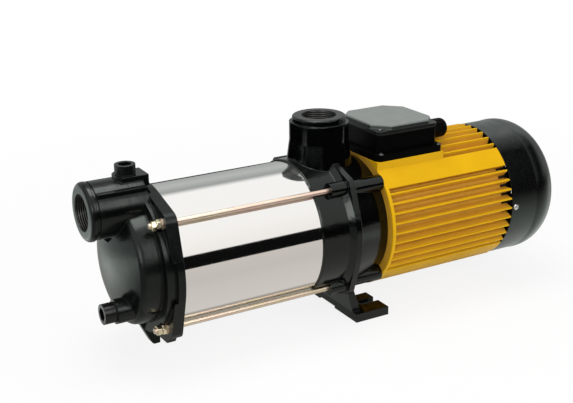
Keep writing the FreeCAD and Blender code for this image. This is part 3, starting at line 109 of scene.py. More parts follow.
def ramp(tree, factor, stops):
    """A colour ramp through (position, colour) stops."""
    made = tree.nodes.new("ShaderNodeValToRGB")
    elements = made.color_ramp.elements
    while len(elements) < len(stops):
        elements.new(0.5)
    for element, (position, colour) in zip(elements, stops):
        element.position = position
        element.color = (*colour, 1)
    link(tree, factor, made.inputs["Fac"])
    return made.outputs["Color"]


def blended(tree, factor, first, second):
    """First colour where the factor is 0, second where it is 1."""
    mix = node(tree, "ShaderNodeMix", data_type="RGBA")
    link(tree, factor, mix.inputs[0])
    for socket, colour in ((mix.inputs[6], first), (mix.inputs[7], second)):
        if isinstance(colour, tuple):
            socket.default_value = (*colour, 1)
        else:
            link(tree, colour, socket)
    return mix.outputs[2]


def over_the_top(degrees):
    """Place on the tent's ramp of an angle that runs from 0 at the opening to 180 behind."""
    return degrees / 180


world = bpy.data.worlds.new("studio")
scene.world = world
world.use_nodes = True
tree = world.node_tree
tree.nodes.clear()
place = node(tree, "ShaderNodeTexCoord")
split = node(tree, "ShaderNodeSeparateXYZ")
link(tree, place.outputs["Generated"], split.inputs[0])
toward_opening = node(tree, "ShaderNodeMath", operation="MULTIPLY")
link(tree, split.outputs["Y"], toward_opening.inputs[0])
toward_opening.inputs[1].default_value = -1.0
above = node(tree, "ShaderNodeMath", operation="MAXIMUM")
link(tree, split.outputs["Z"], above.inputs[0])
above.inputs[1].default_value = 0.0
sweep = node(tree, "ShaderNodeMath", operation="ARCTAN2")
link(tree, above.outputs[0], sweep.inputs[0])
link(tree, toward_opening.outputs[0], sweep.inputs[1])
turned = node(tree, "ShaderNodeMapRange", From_Min=0.0, From_Max=math.pi)
link(tree, sweep.outputs[0], turned.inputs["Value"])
mirrored = ramp(tree, turned.outputs["Result"], [
    (over_the_top(0.0), BLACK),
    (over_the_top(OPENING_TOP - OPENING_BLUR), BLACK),
    (over_the_top(OPENING_TOP + OPENING_BLUR), (0.93, 0.91, 0.88)),
    (over_the_top(45.0), (1.0, 0.99, 0.97)),
    (over_the_top(FAR_SIDE_FROM - FAR_SIDE_BLUR), (1.0, 1.0, 0.99)),
    (over_the_top(FAR_SIDE_FROM + FAR_SIDE_BLUR), (0.36, 0.38, 0.37)),
    (over_the_top(150.0), (0.50, 0.52, 0.51)),
    (over_the_top(180.0), (0.38, 0.40, 0.39))])
ambient = ramp(tree, above.outputs[0], [
    (0.0, (0.30, 0.30, 0.30)), (0.3, (0.36, 0.36, 0.36)), (1.0, (0.62, 0.62, 0.62))])
light_path = node(tree, "ShaderNodeLightPath")
glossy_or_through = node(tree, "ShaderNodeMath", operation="MAXIMUM")
link(tree, light_path.outputs["Is Glossy Ray"], glossy_or_through.inputs[0])
link(tree, light_path.outputs["Is Transmission Ray"], glossy_or_through.inputs[1])
seen = blended(tree, glossy_or_through.outputs[0], ambient, mirrored)
shown = blended(tree, light_path.outputs["Is Camera Ray"], seen, WHITE)
sky = node(tree, "ShaderNodeBackground")
link(tree, shown, sky.inputs["Color"])
out = node(tree, "ShaderNodeOutputWorld")
link(tree, sky.outputs[0], out.inputs["Surface"])

# Studio lamps
# One big softbox overhead, a narrow one in front that draws the streak on the suction port, one on
# the left for the dome, and a fill lamp that lights the yellow side without showing in the shell.


def softbox(name, place_at, aim, width, depth, watts):
    """A rectangular studio lamp at a place, facing a point."""
    lamp = bpy.data.lights.new(name, "AREA")
    lamp.shape = "RECTANGLE"
    lamp.size = width
    lamp.size_y = depth
    lamp.energy = watts
    holder = bpy.data.objects.new(name, lamp)
    scene.collection.objects.link(holder)
    facing = (Vector(aim) - Vector(place_at)).to_track_quat("-Z", "Y")
    holder.matrix_world = Matrix.Translation(place_at) @ facing.to_matrix().to_4x4()
    return holder


softbox("overhead_softbox", place_at=(-0.18, 0.10, 1.5), aim=(-0.18, 0.10, 0.0),
        width=0.8, depth=0.8, watts=11.0)
softbox("strip_softbox", place_at=(0.10, -1.15, 0.86), aim=(-0.05, 0.0, 0.12),
        width=0.25, depth=0.62, watts=1.8)
softbox("near_left_softbox", place_at=(-1.5, -1.1, 0.75), aim=(-0.1, 0.0, 0.1),
        width=0.5, depth=0.7, watts=4.5)
fill = softbox("fill_softbox", place_at=(0.62, -1.25, 0.86), aim=(-0.05, 0.0, 0.12),
               width=1.3, depth=0.7, watts=5.0)
fill.visible_glossy = False

# Black velvet
# A curved flag on the right keeps the fan cover dark. A level card in front and a shelf over the
# shell stop the port, the casing and the terminal box from mirroring the paper. Both are clear from
# below, so they leave the shell's own bright streaks alone.

AXIS_Z = 0.106
FLAG_R = 0.75
FLAG_ARC = (4.0, 104.0)
FLAG_X = (0.60, 1.3)
FLAG_POINTS = 24
CARD_X = (-0.55, 0.80)
CARD_Y = (-0.62, -0.165)
CARD_Z = 0.122
SHELF_X = (-0.30, -0.066)
SHELF_Y = (-0.16, 0.25)
SHELF_Z = 0.178


def velvet_panel(name, points, faces, one_sided=False):
    """A black panel that only glossy surfaces see; a one-sided one is clear from its back."""
    mesh = bpy.data.meshes.new(name)
    mesh.from_pydata(points, [], faces)
    board = bpy.data.objects.new(name, mesh)
    scene.collection.objects.link(board)
    board.visible_camera = False
    board.visible_diffuse = False
    board.visible_shadow = False
    velvet = bpy.data.materials.new(name)
    velvet.use_nodes = True
    tree = velvet.node_tree
    tree.nodes.clear()
    shown = node(tree, "ShaderNodeEmission", Color=(*BLACK, 1)).outputs[0]
    if one_sided:
        sides = node(tree, "ShaderNodeMixShader")
        link(tree, node(tree, "ShaderNodeNewGeometry").outputs["Backfacing"], sides.inputs[0])
        link(tree, shown, sides.inputs[1])
        link(tree, node(tree, "ShaderNodeBsdfTransparent").outputs[0], sides.inputs[2])
        shown = sides.outputs[0]
    link(tree, shown, node(tree, "ShaderNodeOutputMaterial").inputs["Surface"])
    mesh.materials.append(velvet)


def level_corners(x, y, z):
    """Corners of a level rectangle between two ends in x and in y."""
    return [(x[0], y[0], z), (x[1], y[0], z), (x[1], y[1], z), (x[0], y[1], z)]


# The flag is part of a cylinder about the shaft, its angle measured from level in front.
flag_angle = np.radians(np.linspace(FLAG_ARC[0], FLAG_ARC[1], FLAG_POINTS))
flag_rims = [np.stack([np.full(FLAG_POINTS, x), -FLAG_R * np.cos(flag_angle),
                       AXIS_Z + FLAG_R * np.sin(flag_angle)], axis=1) for x in FLAG_X]
flag_faces = [(step, step + 1, step + 1 + FLAG_POINTS, step + FLAG_POINTS)
              for step in range(FLAG_POINTS - 1)]
velvet_panel("black_flag", np.concatenate(flag_rims).tolist(), flag_faces)
velvet_panel("black_card", level_corners(CARD_X, CARD_Y, CARD_Z), [(0, 1, 2, 3)], one_sided=True)
velvet_panel("black_shelf", level_corners(SHELF_X, SHELF_Y, SHELF_Z), [(0, 1, 2, 3)], one_sided=True)

# Paper
# The pump stands on white paper, which keeps its soft shadow and turns pure white further out. What
# glossy rays see of the paper is a painted reflection: warm grey in front and black past its near edge,
# with a painted shadow under the pump and painted pools of lamp light on the left and right of it, where
# the lamps stand. The stops run along Y, from 1 m in front of the shaft to 1 m behind it.

FLOOR_HALF = 6.0
PAPER_NEAR_EDGE = -0.92
NEAR_EDGE_BLUR = 0.02
NEAR_PAPER = (0.64, 0.60, 0.56)
MIDDLE_PAPER = (0.59, 0.56, 0.53)
# Where the painted shadow under the pump begins, along Y.
PAINTED_SHADOW_EDGE_Y = -0.051
LEFT_PAPER = (-0.30, -0.42)
RIGHT_PAPER = (0.18, 0.30)
SHADOW_REACH = (0.35, 0.95)
SHADOW_LIFT = (0.86, 1.0)


def along_y(metres):
    """Place on the paper's ramps of a distance behind the shaft."""
    return (metres + 1) / 2


floor_mesh = bpy.data.meshes.new("studio_floor")
floor_ends = (-FLOOR_HALF, FLOOR_HALF)
floor_mesh.from_pydata(level_corners(floor_ends, floor_ends, 0), [], [(0, 1, 2, 3)])
floor = bpy.data.objects.new("studio_floor", floor_mesh)
scene.collection.objects.link(floor)
paper = bpy.data.materials.new("studio_paper")
paper.use_nodes = True
tree = paper.node_tree
tree.nodes.clear()
place = node(tree, "ShaderNodeTexCoord")
split = node(tree, "ShaderNodeSeparateXYZ")
link(tree, place.outputs["Object"], split.inputs[0])
across = node(tree, "ShaderNodeMapRange", From_Min=-1.0, From_Max=1.0)
link(tree, split.outputs["Y"], across.inputs["Value"])
near_edge = [(along_y(PAPER_NEAR_EDGE - NEAR_EDGE_BLUR), BLACK),
             (along_y(PAPER_NEAR_EDGE + NEAR_EDGE_BLUR), NEAR_PAPER)]
# Painted shadow: in the mirrored paper, a dark line and greyer paper under the pump.
middle_with_painted_shadow = ramp(tree, across.outputs["Result"], near_edge + [
    (0.38, MIDDLE_PAPER),
    (along_y(PAINTED_SHADOW_EDGE_Y - 0.006), (0.66, 0.63, 0.59)),
    (along_y(PAINTED_SHADOW_EDGE_Y - 0.002), (0.10, 0.10, 0.09)),
    (along_y(PAINTED_SHADOW_EDGE_Y + 0.004), (0.30, 0.31, 0.28)),
    (0.60, (0.46, 0.47, 0.44))])
# Painted pool of lamp light on the left, up to twice as bright as white.
painted_lamp_pool_left = ramp(tree, across.outputs["Result"], [
    (0.50, (0.30, 0.32, 0.31)), (0.58, (2.0, 2.15, 2.05)),
    (0.63, (1.9, 2.06, 1.96)), (0.70, (0.76, 0.84, 0.80))])
# Painted pool of lamp light on the right.
painted_lamp_pool_right = ramp(tree, across.outputs["Result"], near_edge + [
    (0.28, MIDDLE_PAPER), (0.36, (1.0, 1.06, 1.0)),
    (0.47, (1.7, 1.82, 1.74)), (0.52, (0.6, 0.62, 0.6))])
leftward = node(tree, "ShaderNodeMapRange", From_Min=LEFT_PAPER[0], From_Max=LEFT_PAPER[1])
link(tree, split.outputs["X"], leftward.inputs["Value"])
rightward = node(tree, "ShaderNodeMapRange", From_Min=RIGHT_PAPER[0], From_Max=RIGHT_PAPER[1])
link(tree, split.outputs["X"], rightward.inputs["Value"])
beside = blended(tree, leftward.outputs["Result"], middle_with_painted_shadow, painted_lamp_pool_left)
# The paper's painted reflection glows as emission for glossy rays only.
painted_paper_reflection = node(tree, "ShaderNodeEmission", Strength=1.0)
link(tree, blended(tree, rightward.outputs["Result"], beside, painted_lamp_pool_right), painted_paper_reflection.inputs["Color"])
matt = node(tree, "ShaderNodeBsdfDiffuse", Color=(0.86, 0.86, 0.86, 1))
glow = node(tree, "ShaderNodeEmission", Color=(*WHITE, 1), Strength=1.0)
light_path = node(tree, "ShaderNodeLightPath")
seen = node(tree, "ShaderNodeMixShader")
link(tree, light_path.outputs["Is Glossy Ray"], seen.inputs[0])
link(tree, matt.outputs[0], seen.inputs[1])
link(tree, painted_paper_reflection.outputs[0], seen.inputs[2])
afar = node(tree, "ShaderNodeVectorMath", operation="LENGTH")
link(tree, place.outputs["Object"], afar.inputs[0])
whiter = node(tree, "ShaderNodeMapRange", From_Min=SHADOW_REACH[0], From_Max=SHADOW_REACH[1],
              To_Min=SHADOW_LIFT[0], To_Max=SHADOW_LIFT[1])
link(tree, afar.outputs["Value"], whiter.inputs["Value"])
lift = node(tree, "ShaderNodeMath", operation="MULTIPLY")
link(tree, light_path.outputs["Is Camera Ray"], lift.inputs[0])
link(tree, whiter.outputs["Result"], lift.inputs[1])
lifted = node(tree, "ShaderNodeMixShader")
link(tree, lift.outputs[0], lifted.inputs[0])
link(tree, seen.outputs[0], lifted.inputs[1])
link(tree, glow.outputs[0], lifted.inputs[2])
out = node(tree, "ShaderNodeOutputMaterial")
link(tree, lifted.outputs[0], out.inputs["Surface"])
floor_mesh.materials.append(paper)

# Black castings
# The suction and discharge casings are sand-cast iron under one coat of black stove enamel. The
# enamel is smooth and shiny, its edges are soft, and the sand still shows as a slight unevenness.
# The discharge casing has a copy of the enamel of its own, shinier and with a darker base colour that is
# painted shade.

ENAMEL_SHADE = (0.90, 1.0, 0.95, 1)
CAST_EDGE = 0.0011
SAND_LUMPS = 95.0
SAND_HEIGHT = 0.0016
GRAIN_LUMPS = 420.0
GRAIN_HEIGHT = 0.0006


def finish(name, base, metallic=0.0, roughness=0.5, specular=0.5, tint=(1, 1, 1, 1), coat=0.0):
    """A new material with its uniform values on the shader's own sockets."""
    made = bpy.data.materials.new(name)
    made.use_nodes = True
    shader = made.node_tree.nodes["Principled BSDF"]
    shader.inputs["Base Color"].default_value = (*base, 1)
    shader.inputs["Metallic"].default_value = metallic
    shader.inputs["Roughness"].default_value = roughness
    shader.inputs["Specular IOR Level"].default_value = specular
    shader.inputs["Specular Tint"].default_value = tint
    shader.inputs["Coat Weight"].default_value = coat
    shader.inputs["Coat Roughness"].default_value = 0.1
    return made


def noise(tree, per_metre, detail=3.0, stretch=(1, 1, 1)):
    """Noise over the piece's own coordinates, with so many lumps in a metre."""
    place = node(tree, "ShaderNodeTexCoord")
    scale = node(tree, "ShaderNodeMapping", vector_type="POINT")
    scale.inputs["Scale"].default_value = stretch
    link(tree, place.outputs["Object"], scale.inputs["Vector"])
    made = node(tree, "ShaderNodeTexNoise", Scale=per_metre, Detail=detail, Roughness=0.55)
    link(tree, scale.outputs[0], made.inputs["Vector"])
    return made.outputs["Fac"]


def bumps(material, layers, edge=0.0):
    """Round the edges a little, then stack bump layers.

    A layer is (lumps in a metre, noise detail, height in metres, strength).
    """
    tree = material.node_tree
    previous = None
    if edge:
        previous = node(tree, "ShaderNodeBevel", samples=6, Radius=edge).outputs["Normal"]
    for per_metre, detail, height, strength in layers:
        made = node(tree, "ShaderNodeBump", Strength=strength, Distance=height)
        link(tree, noise(tree, per_metre, detail), made.inputs["Height"])
        if previous is not None:
            link(tree, previous, made.inputs["Normal"])
        previous = made.outputs["Normal"]
    link(tree, previous, tree.nodes["Principled BSDF"].inputs["Normal"])


def paint(material, colour):
    """Take the material's base colour from a node's output."""
    link(material.node_tree, colour, material.node_tree.nodes["Principled BSDF"].inputs["Base Color"])


def uneven_gloss(material, per_metre, low, high, detail=3.0, stretch=(1, 1, 1)):
    """Let the roughness wander between two values, with so many lumps in a metre."""
    tree = material.node_tree
    wander = ramp(tree, noise(tree, per_metre, detail, stretch), [(0.3, (low,) * 3), (0.7, (high,) * 3)])
    link(tree, wander, tree.nodes["Principled BSDF"].inputs["Roughness"])


def dress(names, material):
    """Give CAD nodes a material in place of their plain one."""
    for name in names:
        mesh = nodes[name].data
        mesh.materials.clear()
        mesh.materials.append(material)


enamel = finish("black_enamel", (0.003, 0.0035, 0.0033), roughness=0.2, specular=0.3,
                tint=ENAMEL_SHADE)
uneven_gloss(enamel, 60.0, 0.15, 0.26, detail=4.0)
tree = enamel.node_tree
paint(enamel, ramp(tree, noise(tree, 30.0, 5.0), [
    (0.3, (0.002, 0.0026, 0.0024)), (0.75, (0.005, 0.006, 0.0056))]))
bumps(enamel, [(SAND_LUMPS, 2.0, SAND_HEIGHT, 0.10), (GRAIN_LUMPS, 2.0, GRAIN_HEIGHT, 0.09)],
      edge=CAST_EDGE)
dress(["suction_casing"], enamel)
# A darker, shinier copy of the enamel; its darker base colour is painted shade.
enamel_painted_darker = finish("black_enamel_painted_darker", (0.001, 0.0012, 0.0011), roughness=0.12, specular=0.42,
                     tint=ENAMEL_SHADE)
uneven_gloss(enamel_painted_darker, 60.0, 0.10, 0.17, detail=4.0)
bumps(enamel_painted_darker, [(SAND_LUMPS, 2.0, SAND_HEIGHT, 0.10), (GRAIN_LUMPS, 2.0, GRAIN_HEIGHT, 0.12)],
      edge=CAST_EDGE)
dress(["discharge_casing"], enamel_painted_darker)

# Port threads
# Both ports are tapped with a pipe thread of 11 turns to the inch. The cut iron is bare, dark and
# oily, and it catches the light on the crest of every turn.

PORT_THREAD_R = 0.0195
PORT_THREAD_STANDS = 0.00004
PORT_THREAD_DEPTH = 0.0006
PORT_THREAD_LENGTH = 0.0215
PORT_THREAD_START = 0.0004
PIPE_PITCH = 0.0254 / 11
ROWS_IN_A_PITCH = 10
THREAD_COLUMNS = 72
SUCTION_MOUTH = (-0.3136, 0.0, 0.169)
DISCHARGE_MOUTH = (-0.0336, 0.0, 0.232)


def mesh_piece(name, grids, body, ring_rows=False, closed=True):
    """One smooth piece from grids of points, rows by columns, all of one size.

    Each grid closes round its columns, and round its rows too where ring_rows is set. Points that
    meet at a pole become one. A closed piece has its faces turned outwards.
    """
    rows, columns = grids[0].shape[:2]
    row = np.arange(rows if ring_rows else rows - 1)[:, None]
    column = np.arange(columns)[None, :]
    after, beside = (row + 1) % rows, (column + 1) % columns
    quads = np.stack([row * columns + column, row * columns + beside,
                      after * columns + beside, after * columns + column], axis=-1).reshape(-1, 4)
    points = np.concatenate([grid.reshape(-1, 3) for grid in grids]).astype(np.float32)
    quads = np.concatenate([quads + index * rows * columns for index in range(len(grids))]).astype(np.int32)
    mesh = bpy.data.meshes.new(name)
    mesh.vertices.add(len(points))
    mesh.vertices.foreach_set("co", points.ravel())
    mesh.loops.add(quads.size)
    mesh.loops.foreach_set("vertex_index", quads.ravel())
    mesh.polygons.add(len(quads))
    mesh.polygons.foreach_set("loop_start", np.arange(len(quads), dtype=np.int32) * 4)
    mesh.update(calc_edges=True)
    welded = bmesh.new()
    welded.from_mesh(mesh)
    bmesh.ops.remove_doubles(welded, verts=welded.verts, dist=1e-7)
    if closed:
        bmesh.ops.recalc_face_normals(welded, faces=welded.faces)
    welded.to_mesh(mesh)
    welded.free()
    mesh.polygons.foreach_set("use_smooth", np.ones(len(mesh.polygons), dtype=bool))
    made = bpy.data.objects.new(name, mesh)
    scene.collection.objects.link(made)
    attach(made, body)
    return made


def thread_points(root_r, height, pitch, length):
    """Grid of a helical thread along +X.

    Radius = root + height times a rounded triangle wave of (distance / pitch - angle / turn). Both
    ends fade to the root over one pitch, and the first and last rows sink below it.
    """
    along = np.linspace(0.0, length, int(length / pitch * ROWS_IN_A_PITCH) + 1)[:, None]
    turn = np.linspace(0.0, 2 * np.pi, THREAD_COLUMNS, endpoint=False)[None, :]
    phase = (along / pitch - turn / (2 * np.pi)) % 1.0
    ridge = np.clip(1.35 * (1 - np.abs(2 * phase - 1)) - 0.12, 0.0, 1.0)
    fade = np.clip(np.minimum(along, length - along) / pitch, 0.0, 1.0)
    radius = root_r + height * ridge * fade
    radius[0, :] = radius[-1, :] = root_r - 0.4 * height
    return np.stack([np.broadcast_to(along, radius.shape), radius * np.cos(turn),
                     radius * np.sin(turn)], axis=-1)


bore_thread = thread_points(PORT_THREAD_R - PORT_THREAD_STANDS, -PORT_THREAD_DEPTH, PIPE_PITCH,
                            PORT_THREAD_LENGTH)
bore_thread = bore_thread[:, ::-1]
level_thread = bore_thread + np.array(SUCTION_MOUTH) + (PORT_THREAD_START, 0, 0)
suction_thread = mesh_piece("suction_port_thread", [level_thread], "pump_body", closed=False)
upright_thread = np.stack([bore_thread[..., 2], bore_thread[..., 1], -bore_thread[..., 0]], axis=-1)
upright_thread = upright_thread + np.array(DISCHARGE_MOUTH) - (0, 0, PORT_THREAD_START)
discharge_thread = mesh_piece("discharge_port_thread", [upright_thread], "pump_body", closed=False)
cut_iron = finish("cut_iron", (0.09, 0.09, 0.088), metallic=1.0, roughness=0.35)
uneven_gloss(cut_iron, 500.0, 0.28, 0.48)
tree = cut_iron.node_tree
paint(cut_iron, ramp(tree, noise(tree, 120.0, 4.0), [
    (0.3, (0.035, 0.037, 0.036)), (0.7, (0.08, 0.08, 0.076))]))
for piece in (suction_thread, discharge_thread):
    piece.data.materials.append(cut_iron)

# Dome skin
# The middle of the suction casing's dome, where a drop of enamel has run smooth. It lies behind the
# tip by the sphere's sag, which is the radius less the root of radius squared minus distance squared,
# and its rim dips just under the casing.

DOME_TIP_X = -0.2917
DOME_CROWN_R = 0.14833
SKIN_R = 0.0075
SKIN_STANDS = 0.00004
SKIN_ROWS = 14
SKIN_COLUMNS = 48
spread = np.linspace(0.0, SKIN_R, SKIN_ROWS)[:, None]
turn = np.linspace(0.0, 2 * np.pi, SKIN_COLUMNS, endpoint=False)[None, :]
sag = DOME_CROWN_R - np.sqrt(DOME_CROWN_R ** 2 - spread ** 2)
skin_x = DOME_TIP_X + sag - SKIN_STANDS + 3 * SKIN_STANDS * (spread / SKIN_R) ** 4
skin_grid = np.stack([np.broadcast_to(skin_x, (SKIN_ROWS, SKIN_COLUMNS)), spread * np.sin(turn),
                      AXIS_Z + spread * np.cos(turn)], axis=-1)
dome_skin = mesh_piece("dome_skin", [skin_grid], "pump_body", closed=False)
dome_skin.data.materials.append(enamel)

# Plugs
# The filler and drain plugs are turned steel with a hexagon socket. They are screwed down on their
# seals and painted with the casing.

plug_black = finish("plug_black", (0.004, 0.0045, 0.0043), roughness=0.25, specular=0.3)
uneven_gloss(plug_black, 300.0, 0.18, 0.34)
bumps(plug_black, [(1400.0, 2.0, 0.0003, 0.12)], edge=0.0006)
dress(["filler_plug", "drain_plug"], plug_black)

# Seals and other rubber pieces
# Moulded black rubber: the washers under the plugs, the shell's gaskets, the cup and bellows of the
# shaft seal, the water slinger, the gasket under the terminal box and the gland's ring.

rubber = finish("moulded_rubber", (0.010, 0.010, 0.010), roughness=0.62, specular=0.3)
uneven_gloss(rubber, 500.0, 0.55, 0.72)
bumps(rubber, [(2200.0, 2.0, 0.0002, 0.2)])
dress(["filler_plug_seal", "drain_plug_seal", "shell_gaskets", "seal_seat_cup", "seal_bellows",
       "water_slinger", "terminal_box_gasket", "gland_seal"], rubber)

# Pump shell
# A drawn stainless tube, polished all round until it mirrors the studio. The polishing belt leaves
# very fine lines around the tube, so the reflections are drawn out a little along it.

shell_steel = finish("polished_shell", (0.90, 0.89, 0.875), metallic=1.0, roughness=0.05)
uneven_gloss(shell_steel, 60.0, 0.03, 0.075, detail=4.0, stretch=(14, 1, 1))
tree = shell_steel.node_tree
wavy = node(tree, "ShaderNodeBump", Strength=0.05, Distance=0.0022)
link(tree, noise(tree, 6.0, 2.0, stretch=(0.7, 1, 1)), wavy.inputs["Height"])
link(tree, wavy.outputs["Normal"], tree.nodes["Principled BSDF"].inputs["Normal"])
dress(["pump_shell"], shell_steel)

# Tie rods and washers
# Four plain steel rods hold the casings together. Rods, nuts and washers are yellow zinc plated,
# which gives pale gold with pink and green patches. The rods' front ends are threaded.

ROD_THREAD_X = (-0.2655, -0.2524)
ROD_R = 0.003
ROD_SIDE = 0.0804 * math.sqrt(0.5)
ROD_PITCH = 0.001
ROD_THREAD_STANDS = 0.00002
ROD_THREAD_DEPTH = 0.00022
zinc = finish("yellow_zinc", (0.86, 0.70, 0.58), metallic=1.0, roughness=0.24)
tree = zinc.node_tree
paint(zinc, ramp(tree, noise(tree, 28.0, 2.0, stretch=(0.5, 1, 1)), [
    (0.30, (0.90, 0.66, 0.55)), (0.45, (0.88, 0.74, 0.60)),
    (0.60, (0.80, 0.70, 0.50)), (0.75, (0.90, 0.68, 0.60))]))
uneven_gloss(zinc, 160.0, 0.30, 0.44, stretch=(0.3, 1, 1))
dress(["tie_rods", "tie_rod_washers"], zinc)


def four_places(points):
    """The same shape at the four corners of the pump, a quarter turn apart about the shaft's axis."""
    spots = []
    for quarter in range(4):
        cos, sin = round(math.cos(quarter * math.pi / 2)), round(math.sin(quarter * math.pi / 2))
        about = points - (0, 0, AXIS_Z)
        spots.append(np.stack([about[..., 0], about[..., 1] * cos - about[..., 2] * sin,
                               about[..., 1] * sin + about[..., 2] * cos + AXIS_Z], axis=-1))
    return spots


rod_thread = thread_points(ROD_R + ROD_THREAD_STANDS, ROD_THREAD_DEPTH, ROD_PITCH,
                           ROD_THREAD_X[1] - ROD_THREAD_X[0])
rod_thread = rod_thread + np.array((ROD_THREAD_X[0], ROD_SIDE, AXIS_Z + ROD_SIDE))
rod_threads = mesh_piece("tie_rod_threads", four_places(rod_thread), "pump_body", closed=False)
rod_threads.data.materials.append(zinc)

# Tie rod nuts
# On each rod a hexagon nut and a second one that locks it, chamfered on both faces, zinc plated like
# the rods. The two stop at different angles.

NUT_SEAT_X = -0.2523
NUT_ACROSS = 0.010
NUT_HEIGHT = 0.0052
NUT_BORE = 0.0031
NUT_BORE_CHAMFER = (0.0005, 0.0004)
NUT_FACE = 0.94
NUT_GAP = 0.0004
INNER_NUT_TURN = 0.26
OUTER_NUT_TURN = 0.58


def nut_points(start, turn):
    """Closed grid of a chamfered hexagon nut that runs from start towards -X.

    The side's radius is half the width across flats over the cosine of the angle from the nearest
    flat's middle. It is cut back to a 30 degree cone at both faces.
    """
    angle = np.linspace(0.0, 2 * np.pi, 96, endpoint=False)[None, :]
    flat = (angle - turn + np.pi / 6) % (np.pi / 3) - np.pi / 6
    hexagon = NUT_ACROSS / 2 / np.cos(flat)
    in_cone = np.array([0.0002, 0.0005, 0.0008, 0.0012])
    mouth_wide, mouth_deep = NUT_BORE_CHAMFER
    depth = np.concatenate([[0, 0], in_cone, [0.5 * NUT_HEIGHT], NUT_HEIGHT - in_cone[::-1],
                            [NUT_HEIGHT, NUT_HEIGHT, NUT_HEIGHT - mouth_deep, mouth_deep]])[:, None]
    cone = NUT_ACROSS / 2 * NUT_FACE + np.minimum(depth, NUT_HEIGHT - depth) * math.sqrt(3)
    radius = np.minimum(hexagon, cone)
    radius[0, :] = radius[-3, :] = NUT_BORE + mouth_wide
    radius[-2, :] = radius[-1, :] = NUT_BORE
    return np.stack([np.broadcast_to(start - depth, radius.shape), ROD_SIDE + radius * np.sin(angle),
                     AXIS_Z + ROD_SIDE + radius * np.cos(angle)], axis=-1)


inner_nuts = four_places(nut_points(NUT_SEAT_X, INNER_NUT_TURN))
outer_nuts = four_places(nut_points(NUT_SEAT_X - NUT_HEIGHT - NUT_GAP, OUTER_NUT_TURN))
nuts = mesh_piece("tie_rod_hexagon_nuts", inner_nuts + outer_nuts, "pump_body", ring_rows=True)
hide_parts("tie_rod_nuts")
nut_zinc = finish("nut_zinc", (0.84, 0.76, 0.56), metallic=1.0, roughness=0.22)
tree = nut_zinc.node_tree
paint(nut_zinc, ramp(tree, noise(tree, 120.0, 2.0), [(0.3, (0.88, 0.80, 0.62)), (0.7, (0.80, 0.70, 0.46))]))
uneven_gloss(nut_zinc, 600.0, 0.16, 0.30)
bumps(nut_zinc, [(1500.0, 2.0, 0.0001, 0.08)], edge=0.00025)
nuts.data.materials.append(nut_zinc)

# Small screws
# Pan-head screws with a cross recess hold the fan cover, the terminal box and its lid. They are
# zinc plated steel, chromated dark on the box and bright on the cover. The motor's long bolts are
# plated like the cover's screws.

COVER_SCREW_X = 0.1905
COVER_SCREW_SEAT = 0.0815
COVER_SCREW_TURNS = ((0.3, 0.0), (1.0, 2 * math.pi / 3), (0.7, -2 * math.pi / 3))
COVER_SCREW_SIZES = (0.0036, 0.0020, 0.0020, 0.0078)
LID_SCREW_SPOTS = ((0.0240, -0.0364), (0.0942, 0.0364))
LID_SCREW_SEAT = 0.214
LID_SCREW_SIZES = (0.0034, 0.0022, 0.0020, 0.0098)
BOX_SCREW_SPOTS = ((0.0192, -0.0463), (0.0192, 0.0463), (0.0985, -0.0463), (0.0985, 0.0463))
BOX_SCREW_SEAT = 0.1885
BOX_SCREW_SIZES = (0.0030, 0.0020, 0.0016, 0.0130)
CROSS_HALF_WIDTH = 0.16
CROSS_REACH = 0.58
CROSS_DEPTH = 0.6
CROSS_SLOPE = 0.00025


def screw_points(head_r, head_height, shank_r, shank_length, turn):
    """Closed grid of a pan-head screw, its head on z = 0 and its shank below.

    The head's height is a flat power curve of the radius. A cross is pressed into it, deep where one
    coordinate is under half the slot's width and the other is short of the slot's end.
    """
    angle = np.linspace(0.0, 2 * np.pi, 64, endpoint=False)[None, :]
    step = np.linspace(0.0, 1.0, 36)[:, None]
    crown_r = head_r * (1 - step ** 1.5)
    crown = head_height * (1 - (crown_r / head_r) ** 2.6) ** 0.42
    low_r = np.array([0.0, 0.7 * shank_r, shank_r, shank_r, 0.96 * head_r])[:, None]
    low = np.array([-shank_length, -shank_length, 0.6 * shank_r - shank_length, 0.0, 0.0])[:, None]
    size = (len(low_r) + len(crown_r), angle.size)
    radius = np.broadcast_to(np.concatenate([low_r, crown_r]), size)
    level = np.broadcast_to(np.concatenate([low, crown]), size)
    x, y = radius * np.cos(angle), radius * np.sin(angle)
    across = np.abs(x * math.cos(turn) + y * math.sin(turn))
    along = np.abs(y * math.cos(turn) - x * math.sin(turn))
    narrow = [np.clip((CROSS_HALF_WIDTH * head_r - side) / CROSS_SLOPE + 0.5, 0, 1)
              for side in (across, along)]
    short = [np.clip((CROSS_REACH * head_r - side) / CROSS_SLOPE + 0.5, 0, 1)
             for side in (along, across)]
    cross = np.maximum(narrow[0] * short[0], narrow[1] * short[1])
    pressed = np.where(level > 0.3 * head_height, level - CROSS_DEPTH * head_height * cross, level)
    return np.stack([x, y, pressed], axis=-1)


